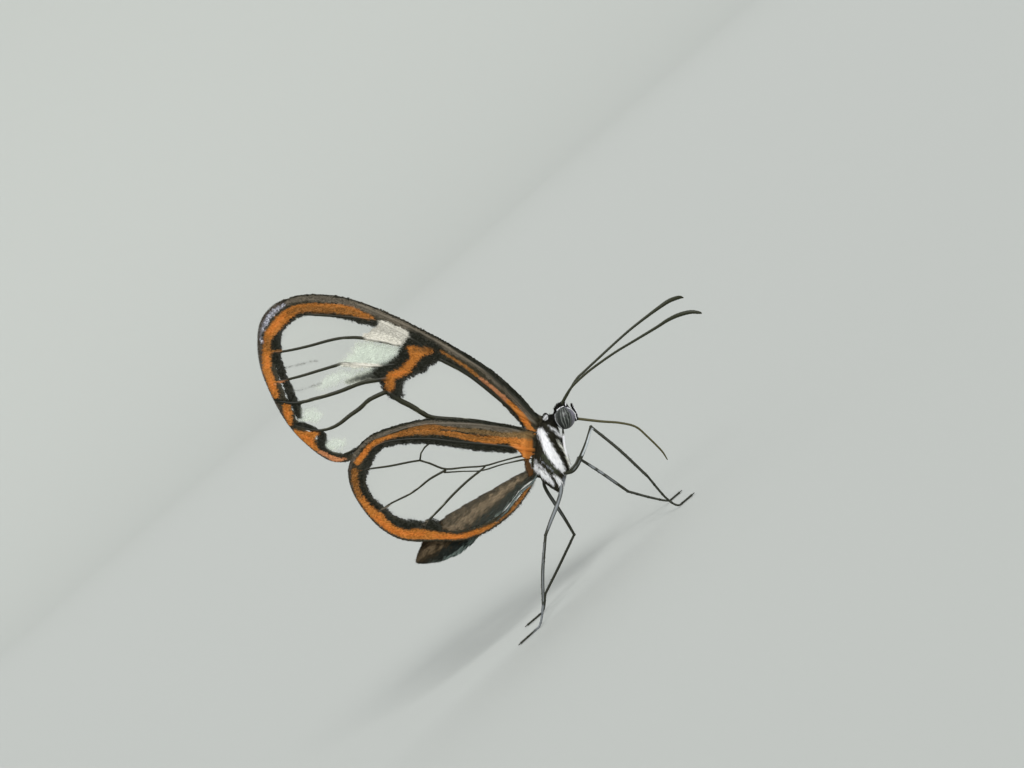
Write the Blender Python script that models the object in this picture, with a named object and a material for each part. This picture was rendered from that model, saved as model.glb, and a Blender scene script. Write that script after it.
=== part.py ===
"""Glasswing butterfly at rest with its wings closed, a still model at life size.

Sizes are in metres, written as millimetres times MM. The insect is drawn in its own
side plane: x runs from the wing tips towards the face, z runs from the belly up to the
front edge of the wings, y runs to its left, and the middle of the thorax is at zero.
The empty "butterfly" then tips it nose down until all four feet are level on the floor.
Points are written as (x, z) or (x, y, z), in millimetres, with a thickness at the end
where a form tapers along its length.
"""

import math

import bmesh
import bpy
from mathutils import Matrix, Vector
from mathutils.geometry import delaunay_2d_cdt

MM = 0.001
GAP = 0.3 * MM

# Stance
PITCH = math.radians(41.0)
THORAX_HEIGHT = 12.3 * MM

# Thorax and abdomen, as (x, z, half depth, half width) from front to back
THORAX_SECTIONS = [
    (-0.30, 3.50, 0.20, 0.25),
    (-0.28, 3.28, 0.48, 0.55),
    (-0.33, 2.90, 0.77, 0.95),
    (-0.43, 2.30, 1.05, 1.25),
    (-0.48, 1.60, 1.24, 1.45),
    (-0.38, 0.70, 1.42, 1.60),
    (-0.28, -0.20, 1.60, 1.65),
    (-0.14, -1.10, 1.86, 1.60),
    (0.00, -1.80, 1.88, 1.50),
    (0.15, -2.40, 1.55, 1.30),
    (0.35, -3.00, 1.10, 1.05),
    (0.58, -3.60, 0.67, 0.75),
    (0.72, -4.00, 0.32, 0.40),
]
ABDOMEN_SECTIONS = [
    (-0.70, -2.00, 0.50, 0.50),
    (-2.70, -2.80, 0.66, 0.62),
    (-3.90, -3.65, 0.88, 0.72),
    (-5.50, -5.05, 1.28, 0.80),
    (-7.20, -6.25, 1.50, 0.84),
    (-8.50, -7.30, 1.78, 0.85),
    (-10.10, -8.55, 1.92, 0.85),
    (-11.70, -9.75, 1.45, 0.80),
    (-12.80, -10.65, 0.80, 0.55),
    (-13.50, -11.15, 0.25, 0.20),
]
ABDOMEN_STEP = 0.1
ABDOMEN_SEGMENTS = 9
SEGMENT_SHARES = (0.0, 0.5, 0.94)
SEGMENT_RIM = 0.06
BODY_SIDES = 18

# Head
HEAD_CENTRE = (0.92, 0.0, 3.72)
HEAD_RADII = (0.82, 0.95, 0.98)
HEAD_SIDE = 0.60 * MM
EYE_CENTRE = (1.40, 0.60, 3.40)
EYE_RADII = (1.05, 0.85, 1.05)
PALP = [
    (1.60, 0.38, 3.80, 0.20),
    (2.20, 0.38, 3.80, 0.20),
    (2.40, 0.38, 3.97, 0.20),
    (2.28, 0.38, 4.22, 0.20),
    (2.08, 0.38, 4.52, 0.16),
    (1.93, 0.38, 4.80, 0.08),
]
PALP_STEP = 0.3
PROBOSCIS = [
    (1.50, 0.0, 3.15, 0.25),
    (2.50, 0.0, 3.12, 0.25),
    (4.90, 0.0, 2.85, 0.25),
    (6.80, 0.0, 2.70, 0.25),
    (8.40, 0.0, 2.30, 0.25),
    (9.60, 0.0, 1.30, 0.23),
    (11.00, 0.0, -0.10, 0.20),
    (11.60, 0.0, -1.00, 0.10),
]
PROBOSCIS_STEP = 0.9
ANTENNA_RIGHT = [
    (1.00, -0.40, 4.50, 0.25),
    (1.90, -0.55, 6.30, 0.25),
    (3.80, -0.90, 7.90, 0.25),
    (5.80, -1.25, 9.45, 0.25),
    (8.80, -1.90, 11.30, 0.25),
    (11.80, -2.60, 13.00, 0.25),
    (13.80, -3.00, 13.75, 0.26),
    (15.00, -3.20, 13.65, 0.15),
]
ANTENNA_LEFT = [
    (1.00, 0.40, 4.50, 0.25),
    (2.00, 0.90, 6.50, 0.25),
    (3.80, 1.60, 8.30, 0.25),
    (5.80, 2.40, 10.25, 0.25),
    (7.80, 3.10, 12.10, 0.25),
    (9.80, 3.80, 13.65, 0.25),
    (11.80, 4.50, 14.90, 0.26),
    (13.20, 5.00, 15.30, 0.15),
]
ANTENNA_STEP = 1.2
FEELER_SIDES = 6

# Legs from the thorax down, and each foot as (distance ahead of the thorax, y) on the floor
FOOT_RADIUS = 0.25
SOLE_HEIGHT = 0.19
LEG_SIDES = 8
LEG_STEP = 1.1
LEGS = {
    "mid_right": {
        "femur": [
            (1.20, -0.80, -2.10, 0.30),
            (2.10, -1.30, -2.05, 0.30),
            (2.75, -1.90, -0.80, 0.30),
            (3.40, -2.40, 0.80, 0.28),
        ],
        "knee": (3.90, -2.70, 2.35, 0.26),
        "tibia": [(6.60, -3.30, 0.20, 0.25)],
        "ankle": (9.30, -3.80, -2.40, 0.25),
        "tarsus": [(11.20, -4.00, -4.60, 0.25)],
        "foot": [(6.00, -4.15), (7.60, -4.30)],
    },
    "mid_left": {
        "femur": [
            (1.20, 0.80, -2.15, 0.30),
            (1.95, 1.90, -2.15, 0.30),
            (2.45, 3.50, -1.60, 0.28),
        ],
        "knee": (2.70, 5.10, -0.85, 0.26),
        "tibia": [(5.10, 5.10, -2.35, 0.25)],
        "ankle": (7.70, 5.00, -4.20, 0.25),
        "tarsus": [(10.20, 4.80, -4.90, 0.25)],
        "foot": [(5.70, 4.60), (7.00, 4.50)],
    },
    "hind_right": {
        "femur": [
            (0.85, -0.70, -3.00, 0.30),
            (0.90, -1.05, -4.00, 0.30),
            (0.45, -1.70, -5.75, 0.30),
            (-0.12, -2.20, -7.20, 0.28),
        ],
        "knee": (-0.62, -2.60, -8.50, 0.26),
        "tibia": [(-0.90, -3.00, -12.00, 0.25)],
        "ankle": (-0.85, -3.40, -15.50, 0.25),
        "tarsus": [],
        "foot": [(-12.50, -3.70), (-14.90, -4.00)],
    },
    "hind_left": {
        "femur": [
            (0.40, 0.70, -3.00, 0.28),
            (-0.30, 1.10, -3.40, 0.28),
            (-0.45, 1.40, -4.10, 0.28),
            (0.32, 1.85, -5.40, 0.28),
            (1.30, 2.35, -6.90, 0.28),
        ],
        "knee": (2.25, 2.80, -8.45, 0.26),
        "tibia": [(0.90, 3.30, -11.90, 0.25)],
        "ankle": (-0.45, 3.70, -14.80, 0.25),
        "tarsus": [],
        "foot": [(-11.60, 4.00), (-13.60, 4.20)],
    },
}
FORELEG = [
    (0.90, 0.50, -0.60, 0.22),
    (1.75, 0.50, -0.15, 0.22),
    (1.62, 0.50, 0.70, 0.22),
    (1.35, 0.48, 1.50, 0.20),
    (1.10, 0.45, 2.05, 0.12),
]
FORELEG_STEP = 0.4

# Wings, as outlines of the side plane from the root along the front edge and back
WING_THICKNESS = 0.5 * MM
VEIN_HEIGHT = 0.1 * MM
OUTLINE_STEP = 1.3 * MM
VEIN_STEP = 1.5 * MM
VEIN_END_REACH = 0.7 * MM
NET_SPACING = 0.25 * MM
NET_MERGE = 0.02 * MM
RIDGE_FOOT = 0.15
FOREWING = {
    "middle": 0.5 * MM,
    "outline": [
        (-1.10, 3.50), (-1.70, 3.85), (-3.20, 5.70), (-5.20, 7.40), (-7.20, 8.80),
        (-10.20, 10.60), (-13.20, 12.20), (-16.20, 13.65), (-19.20, 14.90),
        (-22.00, 15.60), (-25.20, 15.60), (-27.40, 14.90), (-28.90, 13.50),
        (-29.50, 11.50), (-29.30, 8.50), (-28.20, 5.50), (-26.60, 2.70),
        (-24.70, 0.60), (-22.30, -1.00), (-20.20, -1.20), (-17.20, -0.40),
        (-12.20, 0.60), (-7.20, 1.40), (-2.70, 1.80), (-1.10, 1.20), (-0.60, 2.40),
    ],
    "veins": {
        "costa": (0.38, [(-1.4, 3.2), (-4.2, 6.2), (-7.3, 8.5), (-13.5, 11.7), (-19.5, 14.5)]),
        "cell_front": (0.34, [(-1.4, 2.6), (-4.6, 5.2), (-8.2, 7.8), (-12.0, 9.7)]),
        "cell_rear": (0.34, [(-1.4, 2.2), (-7.2, 2.9), (-12.0, 3.3), (-14.2, 4.5), (-16.4, 5.9)]),
        "cell_end": (0.38, [(-12.0, 9.7), (-13.9, 9.5), (-14.4, 7.9), (-16.1, 7.2), (-16.4, 5.9)]),
        "radius": (0.3, [(-12.0, 9.7), (-15.4, 12.0), (-20.0, 13.8), (-25.6, 13.8)]),
        "apex": (0.26, [(-14.3, 10.9), (-20.0, 11.3), (-25.6, 10.0), (-28.6, 9.4)]),
        "upper": (0.26, [(-14.4, 7.9), (-17.7, 8.4), (-21.7, 8.5), (-25.2, 7.4), (-28.3, 6.7)]),
        "middle": (0.3, [(-16.1, 7.2), (-19.2, 6.7), (-23.2, 5.3), (-26.9, 4.0)]),
        "lower": (0.3, [(-16.4, 5.9), (-19.2, 4.2), (-21.2, 2.7), (-24.3, 1.4)]),
        "rear": (0.26, [(-12.0, 3.3), (-16.2, 1.6), (-20.8, -0.4)]),
        "anal": (0.3, [(-1.6, 1.9), (-7.2, 1.95), (-12.2, 1.2), (-18.4, -0.2)]),
    },
}
HINDWING = {
    "middle": 1.5 * MM,
    "outline": [
        (-0.40, 1.30), (-2.20, 1.95), (-5.20, 2.60), (-9.20, 3.10), (-12.20, 3.15),
        (-15.20, 2.65), (-18.20, 1.50), (-19.80, -0.20), (-20.45, -2.00),
        (-20.00, -4.20), (-18.60, -6.40), (-16.80, -8.15), (-14.60, -9.05),
        (-11.60, -9.10), (-8.70, -8.95), (-6.20, -8.00), (-3.80, -6.30),
        (-2.20, -4.30), (-1.70, -2.80), (-0.60, -1.70), (-0.20, -0.20),
    ],
    "veins": {
        "costa": (0.34, [(-1.0, 1.0), (-4.2, 2.0), (-9.2, 2.6), (-13.7, 2.3), (-17.6, 0.9)]),
        "front": (0.34, [(-1.2, -0.2), (-5.2, 0.5), (-12.4, 1.0), (-16.2, 0.9), (-18.9, -1.4)]),
        "cell_end": (0.28, [(-12.4, 1.0), (-13.2, -0.9), (-10.6, -1.9)]),
        "upper": (0.26, [(-13.2, -0.9), (-16.2, -1.5), (-19.4, -2.1)]),
        "cell_rear": (0.34, [(-1.2, -0.9), (-3.6, -0.7), (-7.2, -1.7), (-10.6, -1.9)]),
        "middle": (0.28, [(-10.6, -1.9), (-13.2, -3.6), (-15.2, -4.8), (-17.6, -6.3)]),
        "lower": (0.28, [(-7.0, -1.8), (-10.2, -4.7), (-12.3, -7.0), (-12.6, -8.3)]),
        "anal": (0.26, [(-1.6, -1.2), (-3.7, -3.0), (-6.0, -5.6), (-7.8, -8.1)]),
    },
}


def material(name, colour, roughness, alpha=1.0):
    """Principled finish of one sub-part, with its colour in linear light."""
    finish = bpy.data.materials.new(name)
    finish.use_nodes = True
    shader = finish.node_tree.nodes["Principled BSDF"]
    shader.inputs["Base Color"].default_value = (*colour, 1.0)
    shader.inputs["Roughness"].default_value = roughness
    shader.inputs["Metallic"].default_value = 0.0
    shader.inputs["Alpha"].default_value = alpha
    return finish


def add_object(name, mesh_tool, finish, smooth_angle=40.0):
    """Node made from an edited mesh, tipped with the whole insect."""
    mesh = bpy.data.meshes.new(name)
    mesh_tool.to_mesh(mesh)
    mesh_tool.free()
    mesh.materials.append(finish)
    mesh.shade_smooth()
    mesh.set_sharp_from_angle(angle=math.radians(smooth_angle))
    part = bpy.data.objects.new(name, mesh)
    bpy.context.scene.collection.objects.link(part)
    part.parent = bpy.data.objects["butterfly"]
    return part


def smooth_line(points, step, closed=False):
    """Points about one step apart on a smooth curve through the given ones."""
    count = len(points)
    line = []
    for i in range(count if closed else count - 1):
        if closed:
            near = [points[(i + k) % count] for k in (-1, 0, 1, 2)]
        else:
            near = [points[min(max(i + k, 0), count - 1)] for k in (-1, 0, 1, 2)]
        before, start, end, after = near
        cuts = max(1, round((end - start).length / step))
        for j in range(cuts):
            t = j / cuts
            line.append(
                start
                + 0.5 * t * (end - before)
                + t**2 * (before - 2.5 * start + 2 * end - 0.5 * after)
                + 0.5 * t**3 * (3 * (start - end) + after - before)
            )
    if not closed:
        line.append(points[-1].copy())
    return line


def side_vector(*millimetres):
    """Vector in metres from numbers in millimetres."""
    return Vector(millimetres) * MM


def loft(rings, sides):
    """Closed skin over ellipses given as (centre, along, deep, half depth, half width)."""
    bm = bmesh.new()
    loops = []
    for centre, along, deep, half_depth, half_width in rings:
        wide = along.cross(deep).normalized()
        place = Matrix((deep * half_depth, wide * half_width, along)).transposed().to_4x4()
        place.translation = centre
        circle = bmesh.ops.create_circle(bm, segments=sides, radius=1.0, matrix=place)
        loops.append(list({e for v in circle["verts"] for e in v.link_edges}))
    for first, second in zip(loops, loops[1:]):
        bmesh.ops.bridge_loops(bm, edges=first + second)
    for end in (loops[0], loops[-1]):
        bmesh.ops.contextual_create(bm, geom=end)
    bmesh.ops.recalc_face_normals(bm, faces=bm.faces)
    return bm


def body_loft(sections, grow=0.0):
    """Body form round its centre line in the side plane, or its outer shape grown all round."""
    sections = [Vector(section) * MM for section in sections]
    rings = []
    for i, (x, z, half_depth, half_width) in enumerate(sections):
        after = sections[min(i + 1, len(sections) - 1)]
        before = sections[max(i - 1, 0)]
        along = Vector((after[0] - before[0], 0.0, after[1] - before[1])).normalized()
        deep = along.cross(Vector((0.0, 1.0, 0.0))).normalized()
        centre = Vector((x, 0.0, z))
        if i == 0:
            centre -= along * grow
        if i == len(sections) - 1:
            centre += along * grow
        rings.append((centre, along, deep, half_depth + grow, half_width + grow))
    return loft(rings, BODY_SIDES)


def tube(points, sides, sharp_bend=0.3, least_mitre=0.5):
    """Round tapered form along points of x, y, z and radius, with even thickness at each bend."""
    rings = []
    across = Vector((0.0, 1.0, 0.0))
    for i, point in enumerate(points):
        here = point.to_3d()
        ahead = (points[min(i + 1, len(points) - 1)].to_3d() - here).normalized()
        behind = (here - points[max(i - 1, 0)].to_3d()).normalized()
        along = (ahead + behind).normalized()
        bend = ahead - behind
        stretch = 1.0
        if bend.length > sharp_bend and ahead.length and behind.length:
            stretch = 1.0 / max(along.dot(ahead), least_mitre)
            deep = (bend - along * bend.dot(along)).normalized()
        else:
            deep = (across - along * across.dot(along)).normalized()
        rings.append((here, along, deep, point[3] * stretch, point[3]))
    return loft(rings, sides)


def ellipsoid(centre, radii, grow=0.0, rounds=16, rows=10):
    """Egg shape with its poles to the insect's left and right."""
    place = Matrix.Translation(Vector(centre) * MM)
    turn = Matrix.Rotation(math.pi / 2, 4, "X")
    size = Matrix.Diagonal([radius * MM + grow for radius in radii] + [1.0])
    bm = bmesh.new()
    bmesh.ops.create_uvsphere(
        bm, u_segments=rounds, v_segments=rows, radius=1.0, matrix=place @ size @ turn
    )
    bmesh.ops.recalc_face_normals(bm, faces=bm.faces)
    return bm


def keep_largest(bm):
    """Drops every loose scrap but the largest closed surface."""
    left = set(bm.verts)
    groups = []
    while left:
        front = [left.pop()]
        group = set(front)
        while front:
            for edge in front.pop().link_edges:
                for vert in edge.verts:
                    if vert in left:
                        left.remove(vert)
                        group.add(vert)
                        front.append(vert)
        groups.append(group)
    groups.sort(key=len)
    scraps = [vert for group in groups[:-1] for vert in group]
    bmesh.ops.delete(bm, geom=scraps, context="VERTS")


def cut_clear(part, grown_forms):
    """Cuts a node back from what it grows from, so that the two meet face to face."""
    for form in grown_forms:
        mesh = bpy.data.meshes.new("cutter")
        form.to_mesh(mesh)
        form.free()
        cutter = bpy.data.objects.new("cutter", mesh)
        bpy.context.scene.collection.objects.link(cutter)
        cutter.parent = part.parent
        cut = part.modifiers.new("cut", "BOOLEAN")
        cut.operation = "DIFFERENCE"
        cut.solver = "EXACT"
        cut.object = cutter
        scene_state = bpy.context.evaluated_depsgraph_get()
        bm = bmesh.new()
        bm.from_mesh(part.evaluated_get(scene_state).to_mesh())
        keep_largest(bm)
        part.modifiers.clear()
        bm.to_mesh(part.data)
        bm.free()
        bpy.data.objects.remove(cutter)


def split_at(bm, point, along, keep_before, gap=GAP):
    """Keeps one side of a closed form cut square across, and closes the cut flat."""
    side = -1.0 if keep_before else 1.0
    cut = bmesh.ops.bisect_plane(
        bm,
        geom=bm.verts[:] + bm.edges[:] + bm.faces[:],
        plane_co=point + along * side * gap / 2,
        plane_no=along * side,
        clear_inner=True,
    )
    rim = [item for item in cut["geom_cut"] if isinstance(item, bmesh.types.BMEdge)]
    bmesh.ops.contextual_create(bm, geom=rim)
    bmesh.ops.recalc_face_normals(bm, faces=bm.faces)


def thorax_grown():
    return body_loft(THORAX_SECTIONS, GAP)


def head_grown():
    return ellipsoid(HEAD_CENTRE, HEAD_RADII, GAP)


def make_thorax(finish):
    add_object("thorax", body_loft(THORAX_SECTIONS), finish)


def make_abdomen(finish):
    """Abdomen as a row of segments, each a little wider at its rear rim."""
    line = smooth_line([Vector(section) for section in ABDOMEN_SECTIONS], ABDOMEN_STEP)
    sections = []
    for segment in range(ABDOMEN_SEGMENTS):
        for share in SEGMENT_SHARES:
            place = (segment + share) / ABDOMEN_SEGMENTS * (len(line) - 1)
            x, z, half_depth, half_width = line[round(place)]
            flare = 1.0 + SEGMENT_RIM * (share - 0.5)
            sections.append((x, z, half_depth * flare, half_width * flare))
    sections.append(line[-1])
    abdomen = add_object("abdomen", body_loft(sections), finish)
    cut_clear(abdomen, [thorax_grown()])


def make_head(finish, eye_finish):
    """Head with flat cheeks, and a domed eye set on each of them."""
    head = ellipsoid(HEAD_CENTRE, HEAD_RADII)
    for side, sign in (("left", 1), ("right", -1)):
        outward = Vector((0.0, sign, 0.0))
        split_at(head, outward * HEAD_SIDE, outward, keep_before=True, gap=0.0)
        x, y, z = EYE_CENTRE
        eye = ellipsoid((x, y * sign, z), EYE_RADII)
        split_at(eye, outward * (HEAD_SIDE + GAP), outward, keep_before=False, gap=0.0)
        eye_part = add_object("eye_" + side, eye, eye_finish)
        cut_clear(eye_part, [thorax_grown()])
    head_part = add_object("head", head, finish)
    cut_clear(head_part, [thorax_grown()])


def feeler(name, points, step, finish, roots):
    """Thin tapered part that grows out of the body and is cut back from it."""
    line = smooth_line([side_vector(*point) for point in points], step * MM)
    part = add_object(name, tube(line, FEELER_SIDES), finish)
    cut_clear(part, roots)


def mirrored(points):
    return [(x, -y, z, radius) for x, y, z, radius in points]


def make_mouth_and_feelers(dark, pale):
    feeler("proboscis", PROBOSCIS, PROBOSCIS_STEP, dark, [head_grown()])
    feeler("palp_left", PALP, PALP_STEP, pale, [head_grown()])
    feeler("palp_right", mirrored(PALP), PALP_STEP, pale, [head_grown()])
    feeler("antenna_left", ANTENNA_LEFT, ANTENNA_STEP, dark, [head_grown()])
    feeler("antenna_right", ANTENNA_RIGHT, ANTENNA_STEP, dark, [head_grown()])


def above_floor(ahead, y, height, radius):
    """Point of the side plane from its place over the floor, ahead of the thorax."""
    drop = height - THORAX_HEIGHT / MM
    x = ahead * math.cos(PITCH) - drop * math.sin(PITCH)
    z = ahead * math.sin(PITCH) + drop * math.cos(PITCH)
    return side_vector(x, y, z, radius)


def cut_sole(bm):
    """Cuts the foot off flat at the floor."""
    floor_point = above_floor(0.0, 0.0, 0.0, 0.0).to_3d()
    up = Vector((-math.sin(PITCH), 0.0, math.cos(PITCH)))
    split_at(bm, floor_point, up, keep_before=False, gap=0.0)


def make_leg(name, leg, finish):
    """One leg as a single bent form, parted with thin cuts at knee and ankle."""
    femur = [side_vector(*point) for point in leg["femur"] + [leg["knee"]]]
    tibia = [side_vector(*point) for point in [leg["knee"]] + leg["tibia"] + [leg["ankle"]]]
    tarsus = [side_vector(*point) for point in [leg["ankle"]] + leg["tarsus"]]
    tarsus += [above_floor(ahead, y, SOLE_HEIGHT, FOOT_RADIUS) for ahead, y in leg["foot"]]
    line = []
    for stretch in (femur, tibia, tarsus):
        line += smooth_line(stretch, LEG_STEP * MM)[:-1]
    line.append(tarsus[-1])
    knee, ankle = femur[-1].to_3d(), tibia[-1].to_3d()
    knee_cut = bend_direction(line, femur[-1])
    ankle_cut = bend_direction(line, tibia[-1])
    cuts = {
        "femur": [(knee, knee_cut, True)],
        "tibia": [(knee, knee_cut, False), (ankle, ankle_cut, True)],
        "tarsus": [(ankle, ankle_cut, False)],
    }
    for segment, planes in cuts.items():
        bm = tube(line, LEG_SIDES)
        for point, along, keep_before in planes:
            split_at(bm, point, along, keep_before)
            keep_largest(bm)
        if segment == "tarsus":
            cut_sole(bm)
        part = add_object(f"leg_{name}_{segment}", bm, finish)
        if segment == "femur":
            cut_clear(part, [thorax_grown()])


def bend_direction(line, corner):
    """Direction square to the cut that halves the bend at one point of a line."""
    i = min(range(len(line)), key=lambda k: (line[k] - corner).length)
    ahead = (line[i + 1] - line[i]).to_3d().normalized()
    behind = (line[i] - line[i - 1]).to_3d().normalized()
    return (ahead + behind).normalized()


def make_legs(finish):
    for name, leg in LEGS.items():
        make_leg(name, leg, finish)
    feeler("leg_fore_left", FORELEG, FORELEG_STEP, finish, [thorax_grown()])
    feeler("leg_fore_right", mirrored(FORELEG), FORELEG_STEP, finish, [thorax_grown()])


def nearest(point, others, reach):
    """The other point nearest to this one, if any lies within reach."""
    close = [other for other in others if (other - point).length < reach]
    return min(close, key=lambda other: (other - point).length, default=None)


def vein_net(veins):
    """Centre lines of all veins and the points along both edges of each ridge."""
    lines, seen = [], []
    for width, points in veins.values():
        line = smooth_line([side_vector(*point) for point in points], VEIN_STEP)
        for end in (0, -1):
            line[end] = nearest(line[end], seen, VEIN_END_REACH) or line[end]
        seen += line
        lines.append((width * MM, line))
    edges = []
    for width, line in lines:
        for before, here, after in zip(line, line[1:], line[2:]):
            along = (after - before).normalized()
            for side in (1, -1):
                edge = here + Vector((-along.y, along.x)) * side * width
                near_vein = ridge_share(edge, lines) > RIDGE_FOOT
                if not near_vein and not nearest(edge, edges + seen, NET_SPACING):
                    edges.append(edge)
    return lines, edges


def ridge_share(point, lines):
    """Height of the membrane's surface at a point, from 0 between veins to 1 on one."""
    share = 0.0
    for width, line in lines:
        for start, end in zip(line, line[1:]):
            run = end - start
            t = min(max((point - start).dot(run) / run.length_squared, 0.0), 1.0)
            share = max(share, 1.0 - (point - start - run * t).length / width)
    return share


def wing_sheet(wing, sign):
    """Closed membrane whose two faces share one triangle net and rise over its veins."""
    outline = smooth_line([side_vector(*p) for p in wing["outline"]], OUTLINE_STEP, closed=True)
    lines, edges = vein_net(wing["veins"])
    points = list(outline)
    pairs = []
    for _, line in lines:
        first = len(points)
        points += line
        pairs += [(first + i, first + i + 1) for i in range(len(line) - 1)]
    points += edges
    flat, _, faces, *_ = delaunay_2d_cdt(
        points, pairs, [list(range(len(outline)))], 1, NET_MERGE
    )
    bm = bmesh.new()
    near, far = [], []
    for point in flat:
        half = WING_THICKNESS / 2 + VEIN_HEIGHT * ridge_share(point, lines)
        near.append(bm.verts.new((point.x, wing["middle"] * sign - half, point.y)))
        far.append(bm.verts.new((point.x, wing["middle"] * sign + half, point.y)))
    for face in faces:
        bm.faces.new([near[i] for i in face])
        bm.faces.new([far[i] for i in reversed(face)])
    rims = [edge for edge in bm.edges if edge.is_boundary]
    bmesh.ops.bridge_loops(bm, edges=rims)
    bmesh.ops.recalc_face_normals(bm, faces=bm.faces)
    return bm


def make_wings(finish):
    for name, wing in (("forewing", FOREWING), ("hindwing", HINDWING)):
        for side, sign in (("left", 1), ("right", -1)):
            part = add_object(f"{name}_{side}", wing_sheet(wing, sign), finish)
            cut_clear(part, [thorax_grown()])


def stand_up(butterfly):
    """Tips the insect onto its feet, over the middle of the floor it covers."""
    butterfly.rotation_euler.y = PITCH
    butterfly.location.z = THORAX_HEIGHT
    bpy.context.view_layer.update()
    corners = [
        part.matrix_world @ vert.co for part in butterfly.children for vert in part.data.vertices
    ]
    for axis in (0, 1):
        reach = [corner[axis] for corner in corners]
        butterfly.location[axis] = -(min(reach) + max(reach)) / 2
    bpy.context.view_layer.update()


for old in list(bpy.data.objects):
    bpy.data.objects.remove(old, do_unlink=True)

butterfly = bpy.data.objects.new("butterfly", None)
bpy.context.scene.collection.objects.link(butterfly)

make_thorax(material("thorax_hair", (0.06, 0.05, 0.045), 0.85))
make_abdomen(material("abdomen_scales", (0.16, 0.12, 0.09), 0.8))
make_head(
    material("head_hair", (0.05, 0.045, 0.04), 0.85), material("eye_facets", (0.22, 0.22, 0.23), 0.25)
)
make_mouth_and_feelers(
    material("dark_horn", (0.03, 0.02, 0.016), 0.5), material("pale_scales", (0.6, 0.58, 0.55), 0.8)
)
make_legs(material("leg_scales", (0.07, 0.055, 0.045), 0.7))
make_wings(material("wing_membrane", (0.55, 0.5, 0.42), 0.2, alpha=0.35))
stand_up(butterfly)
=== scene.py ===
import math

import bmesh
import bpy
import numpy as np
from mathutils import Matrix, Vector


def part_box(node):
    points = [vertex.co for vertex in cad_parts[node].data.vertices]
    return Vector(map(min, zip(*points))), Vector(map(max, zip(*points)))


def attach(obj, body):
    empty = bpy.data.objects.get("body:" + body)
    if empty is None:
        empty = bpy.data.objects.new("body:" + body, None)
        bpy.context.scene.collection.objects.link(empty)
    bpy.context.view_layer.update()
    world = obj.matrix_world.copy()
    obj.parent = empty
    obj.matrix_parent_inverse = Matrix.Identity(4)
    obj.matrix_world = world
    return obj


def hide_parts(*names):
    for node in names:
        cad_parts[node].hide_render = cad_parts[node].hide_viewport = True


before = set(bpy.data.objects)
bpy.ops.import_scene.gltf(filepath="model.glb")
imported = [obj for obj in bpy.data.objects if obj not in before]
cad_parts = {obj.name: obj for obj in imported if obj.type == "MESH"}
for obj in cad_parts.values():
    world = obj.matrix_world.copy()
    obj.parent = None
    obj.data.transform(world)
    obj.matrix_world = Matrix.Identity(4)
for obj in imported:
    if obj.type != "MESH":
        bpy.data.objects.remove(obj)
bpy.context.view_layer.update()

# Stance
# The insect is drawn as it is seen from its right, in millimetres: x towards its face, z
# towards the front edge of its wings, y to its left, with the middle of the thorax at zero.
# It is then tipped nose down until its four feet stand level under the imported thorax.
MM = 0.001
PITCH = math.radians(41.0)
THORAX_TO_REAR = 2.85 * MM
THORAX_HEIGHT = 12.3 * MM
thorax_low, thorax_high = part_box("thorax")
thorax_place = Vector(
    (thorax_low.x + THORAX_TO_REAR, (thorax_low.y + thorax_high.y) / 2, THORAX_HEIGHT)
)
TIP = Matrix.Translation(thorax_place) @ Matrix.Rotation(PITCH, 4, "Y") @ Matrix.Scale(MM, 4)

# Camera
# It looks square at the closed wings from the insect's right, a little from above, and is
# rolled by the same angle as the insect, so that the picture has the feet at lower right.
PICTURE_CENTRE = Vector((-4.0, 0.0, 6.6))
PICTURE_WIDTH = 102.4 * MM
CAMERA_DISTANCE = 320.0 * MM
CAMERA_RISE = math.radians(3.0)
camera = bpy.data.objects.new("camera", bpy.data.cameras.new("camera"))
bpy.context.scene.collection.objects.link(camera)
level = Vector((1.0, 0.0, 0.0))
upward = Vector((0.0, math.sin(CAMERA_RISE), math.cos(CAMERA_RISE)))
camera_right = level * math.cos(PITCH) - upward * math.sin(PITCH)
camera_up = level * math.sin(PITCH) + upward * math.cos(PITCH)
camera_back = camera_right.cross(camera_up)
aim = Matrix((camera_right, camera_up, camera_back)).transposed().to_4x4()
aim.translation = TIP @ PICTURE_CENTRE + camera_back * CAMERA_DISTANCE
camera.matrix_world = aim
camera.data.sensor_width = 36.0
camera.data.lens = camera.data.sensor_width * CAMERA_DISTANCE / PICTURE_WIDTH
camera.data.clip_start = 0.01
bpy.context.scene.camera = camera
bpy.context.scene.view_settings.view_transform = "Standard"

# Studio
# A pale floor that curves up into a wall all round, so that no edge shows behind the model
# from any side, lit by one soft sun from the camera's side and a weaker one from behind.
FLOOR_REACH = 3.0
WALL_CURVE = 1.2
WALL_TOP = 1.3
CURVE_STEPS = 16
ROUND_STEPS = 72
SHADE_OF_PAPER = (0.42, 0.435, 0.41, 1.0)
PAPER_ROUGHNESS = 0.9
SHADE_OF_AIR = (0.95, 0.98, 1.0, 1.0)
AIR_LIGHT = 0.62
bm = bmesh.new()
profile = [(0.0, 0.0), (FLOOR_REACH, 0.0)]
for step in range(1, CURVE_STEPS + 1):
    turn = step / CURVE_STEPS * math.pi / 2
    profile.append((FLOOR_REACH + WALL_CURVE * math.sin(turn), WALL_CURVE * (1.0 - math.cos(turn))))
profile.append((FLOOR_REACH + WALL_CURVE, WALL_TOP))
corners = [bm.verts.new((reach, 0.0, height)) for reach, height in profile]
sides = [bm.edges.new(pair) for pair in zip(corners, corners[1:])]
bmesh.ops.spin(
    bm, geom=corners + sides, cent=(0, 0, 0), axis=(0, 0, 1), angle=2 * math.pi, steps=ROUND_STEPS,
    use_merge=True,
)
bmesh.ops.remove_doubles(bm, verts=bm.verts, dist=0.001)
bmesh.ops.recalc_face_normals(bm, faces=bm.faces)
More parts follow.
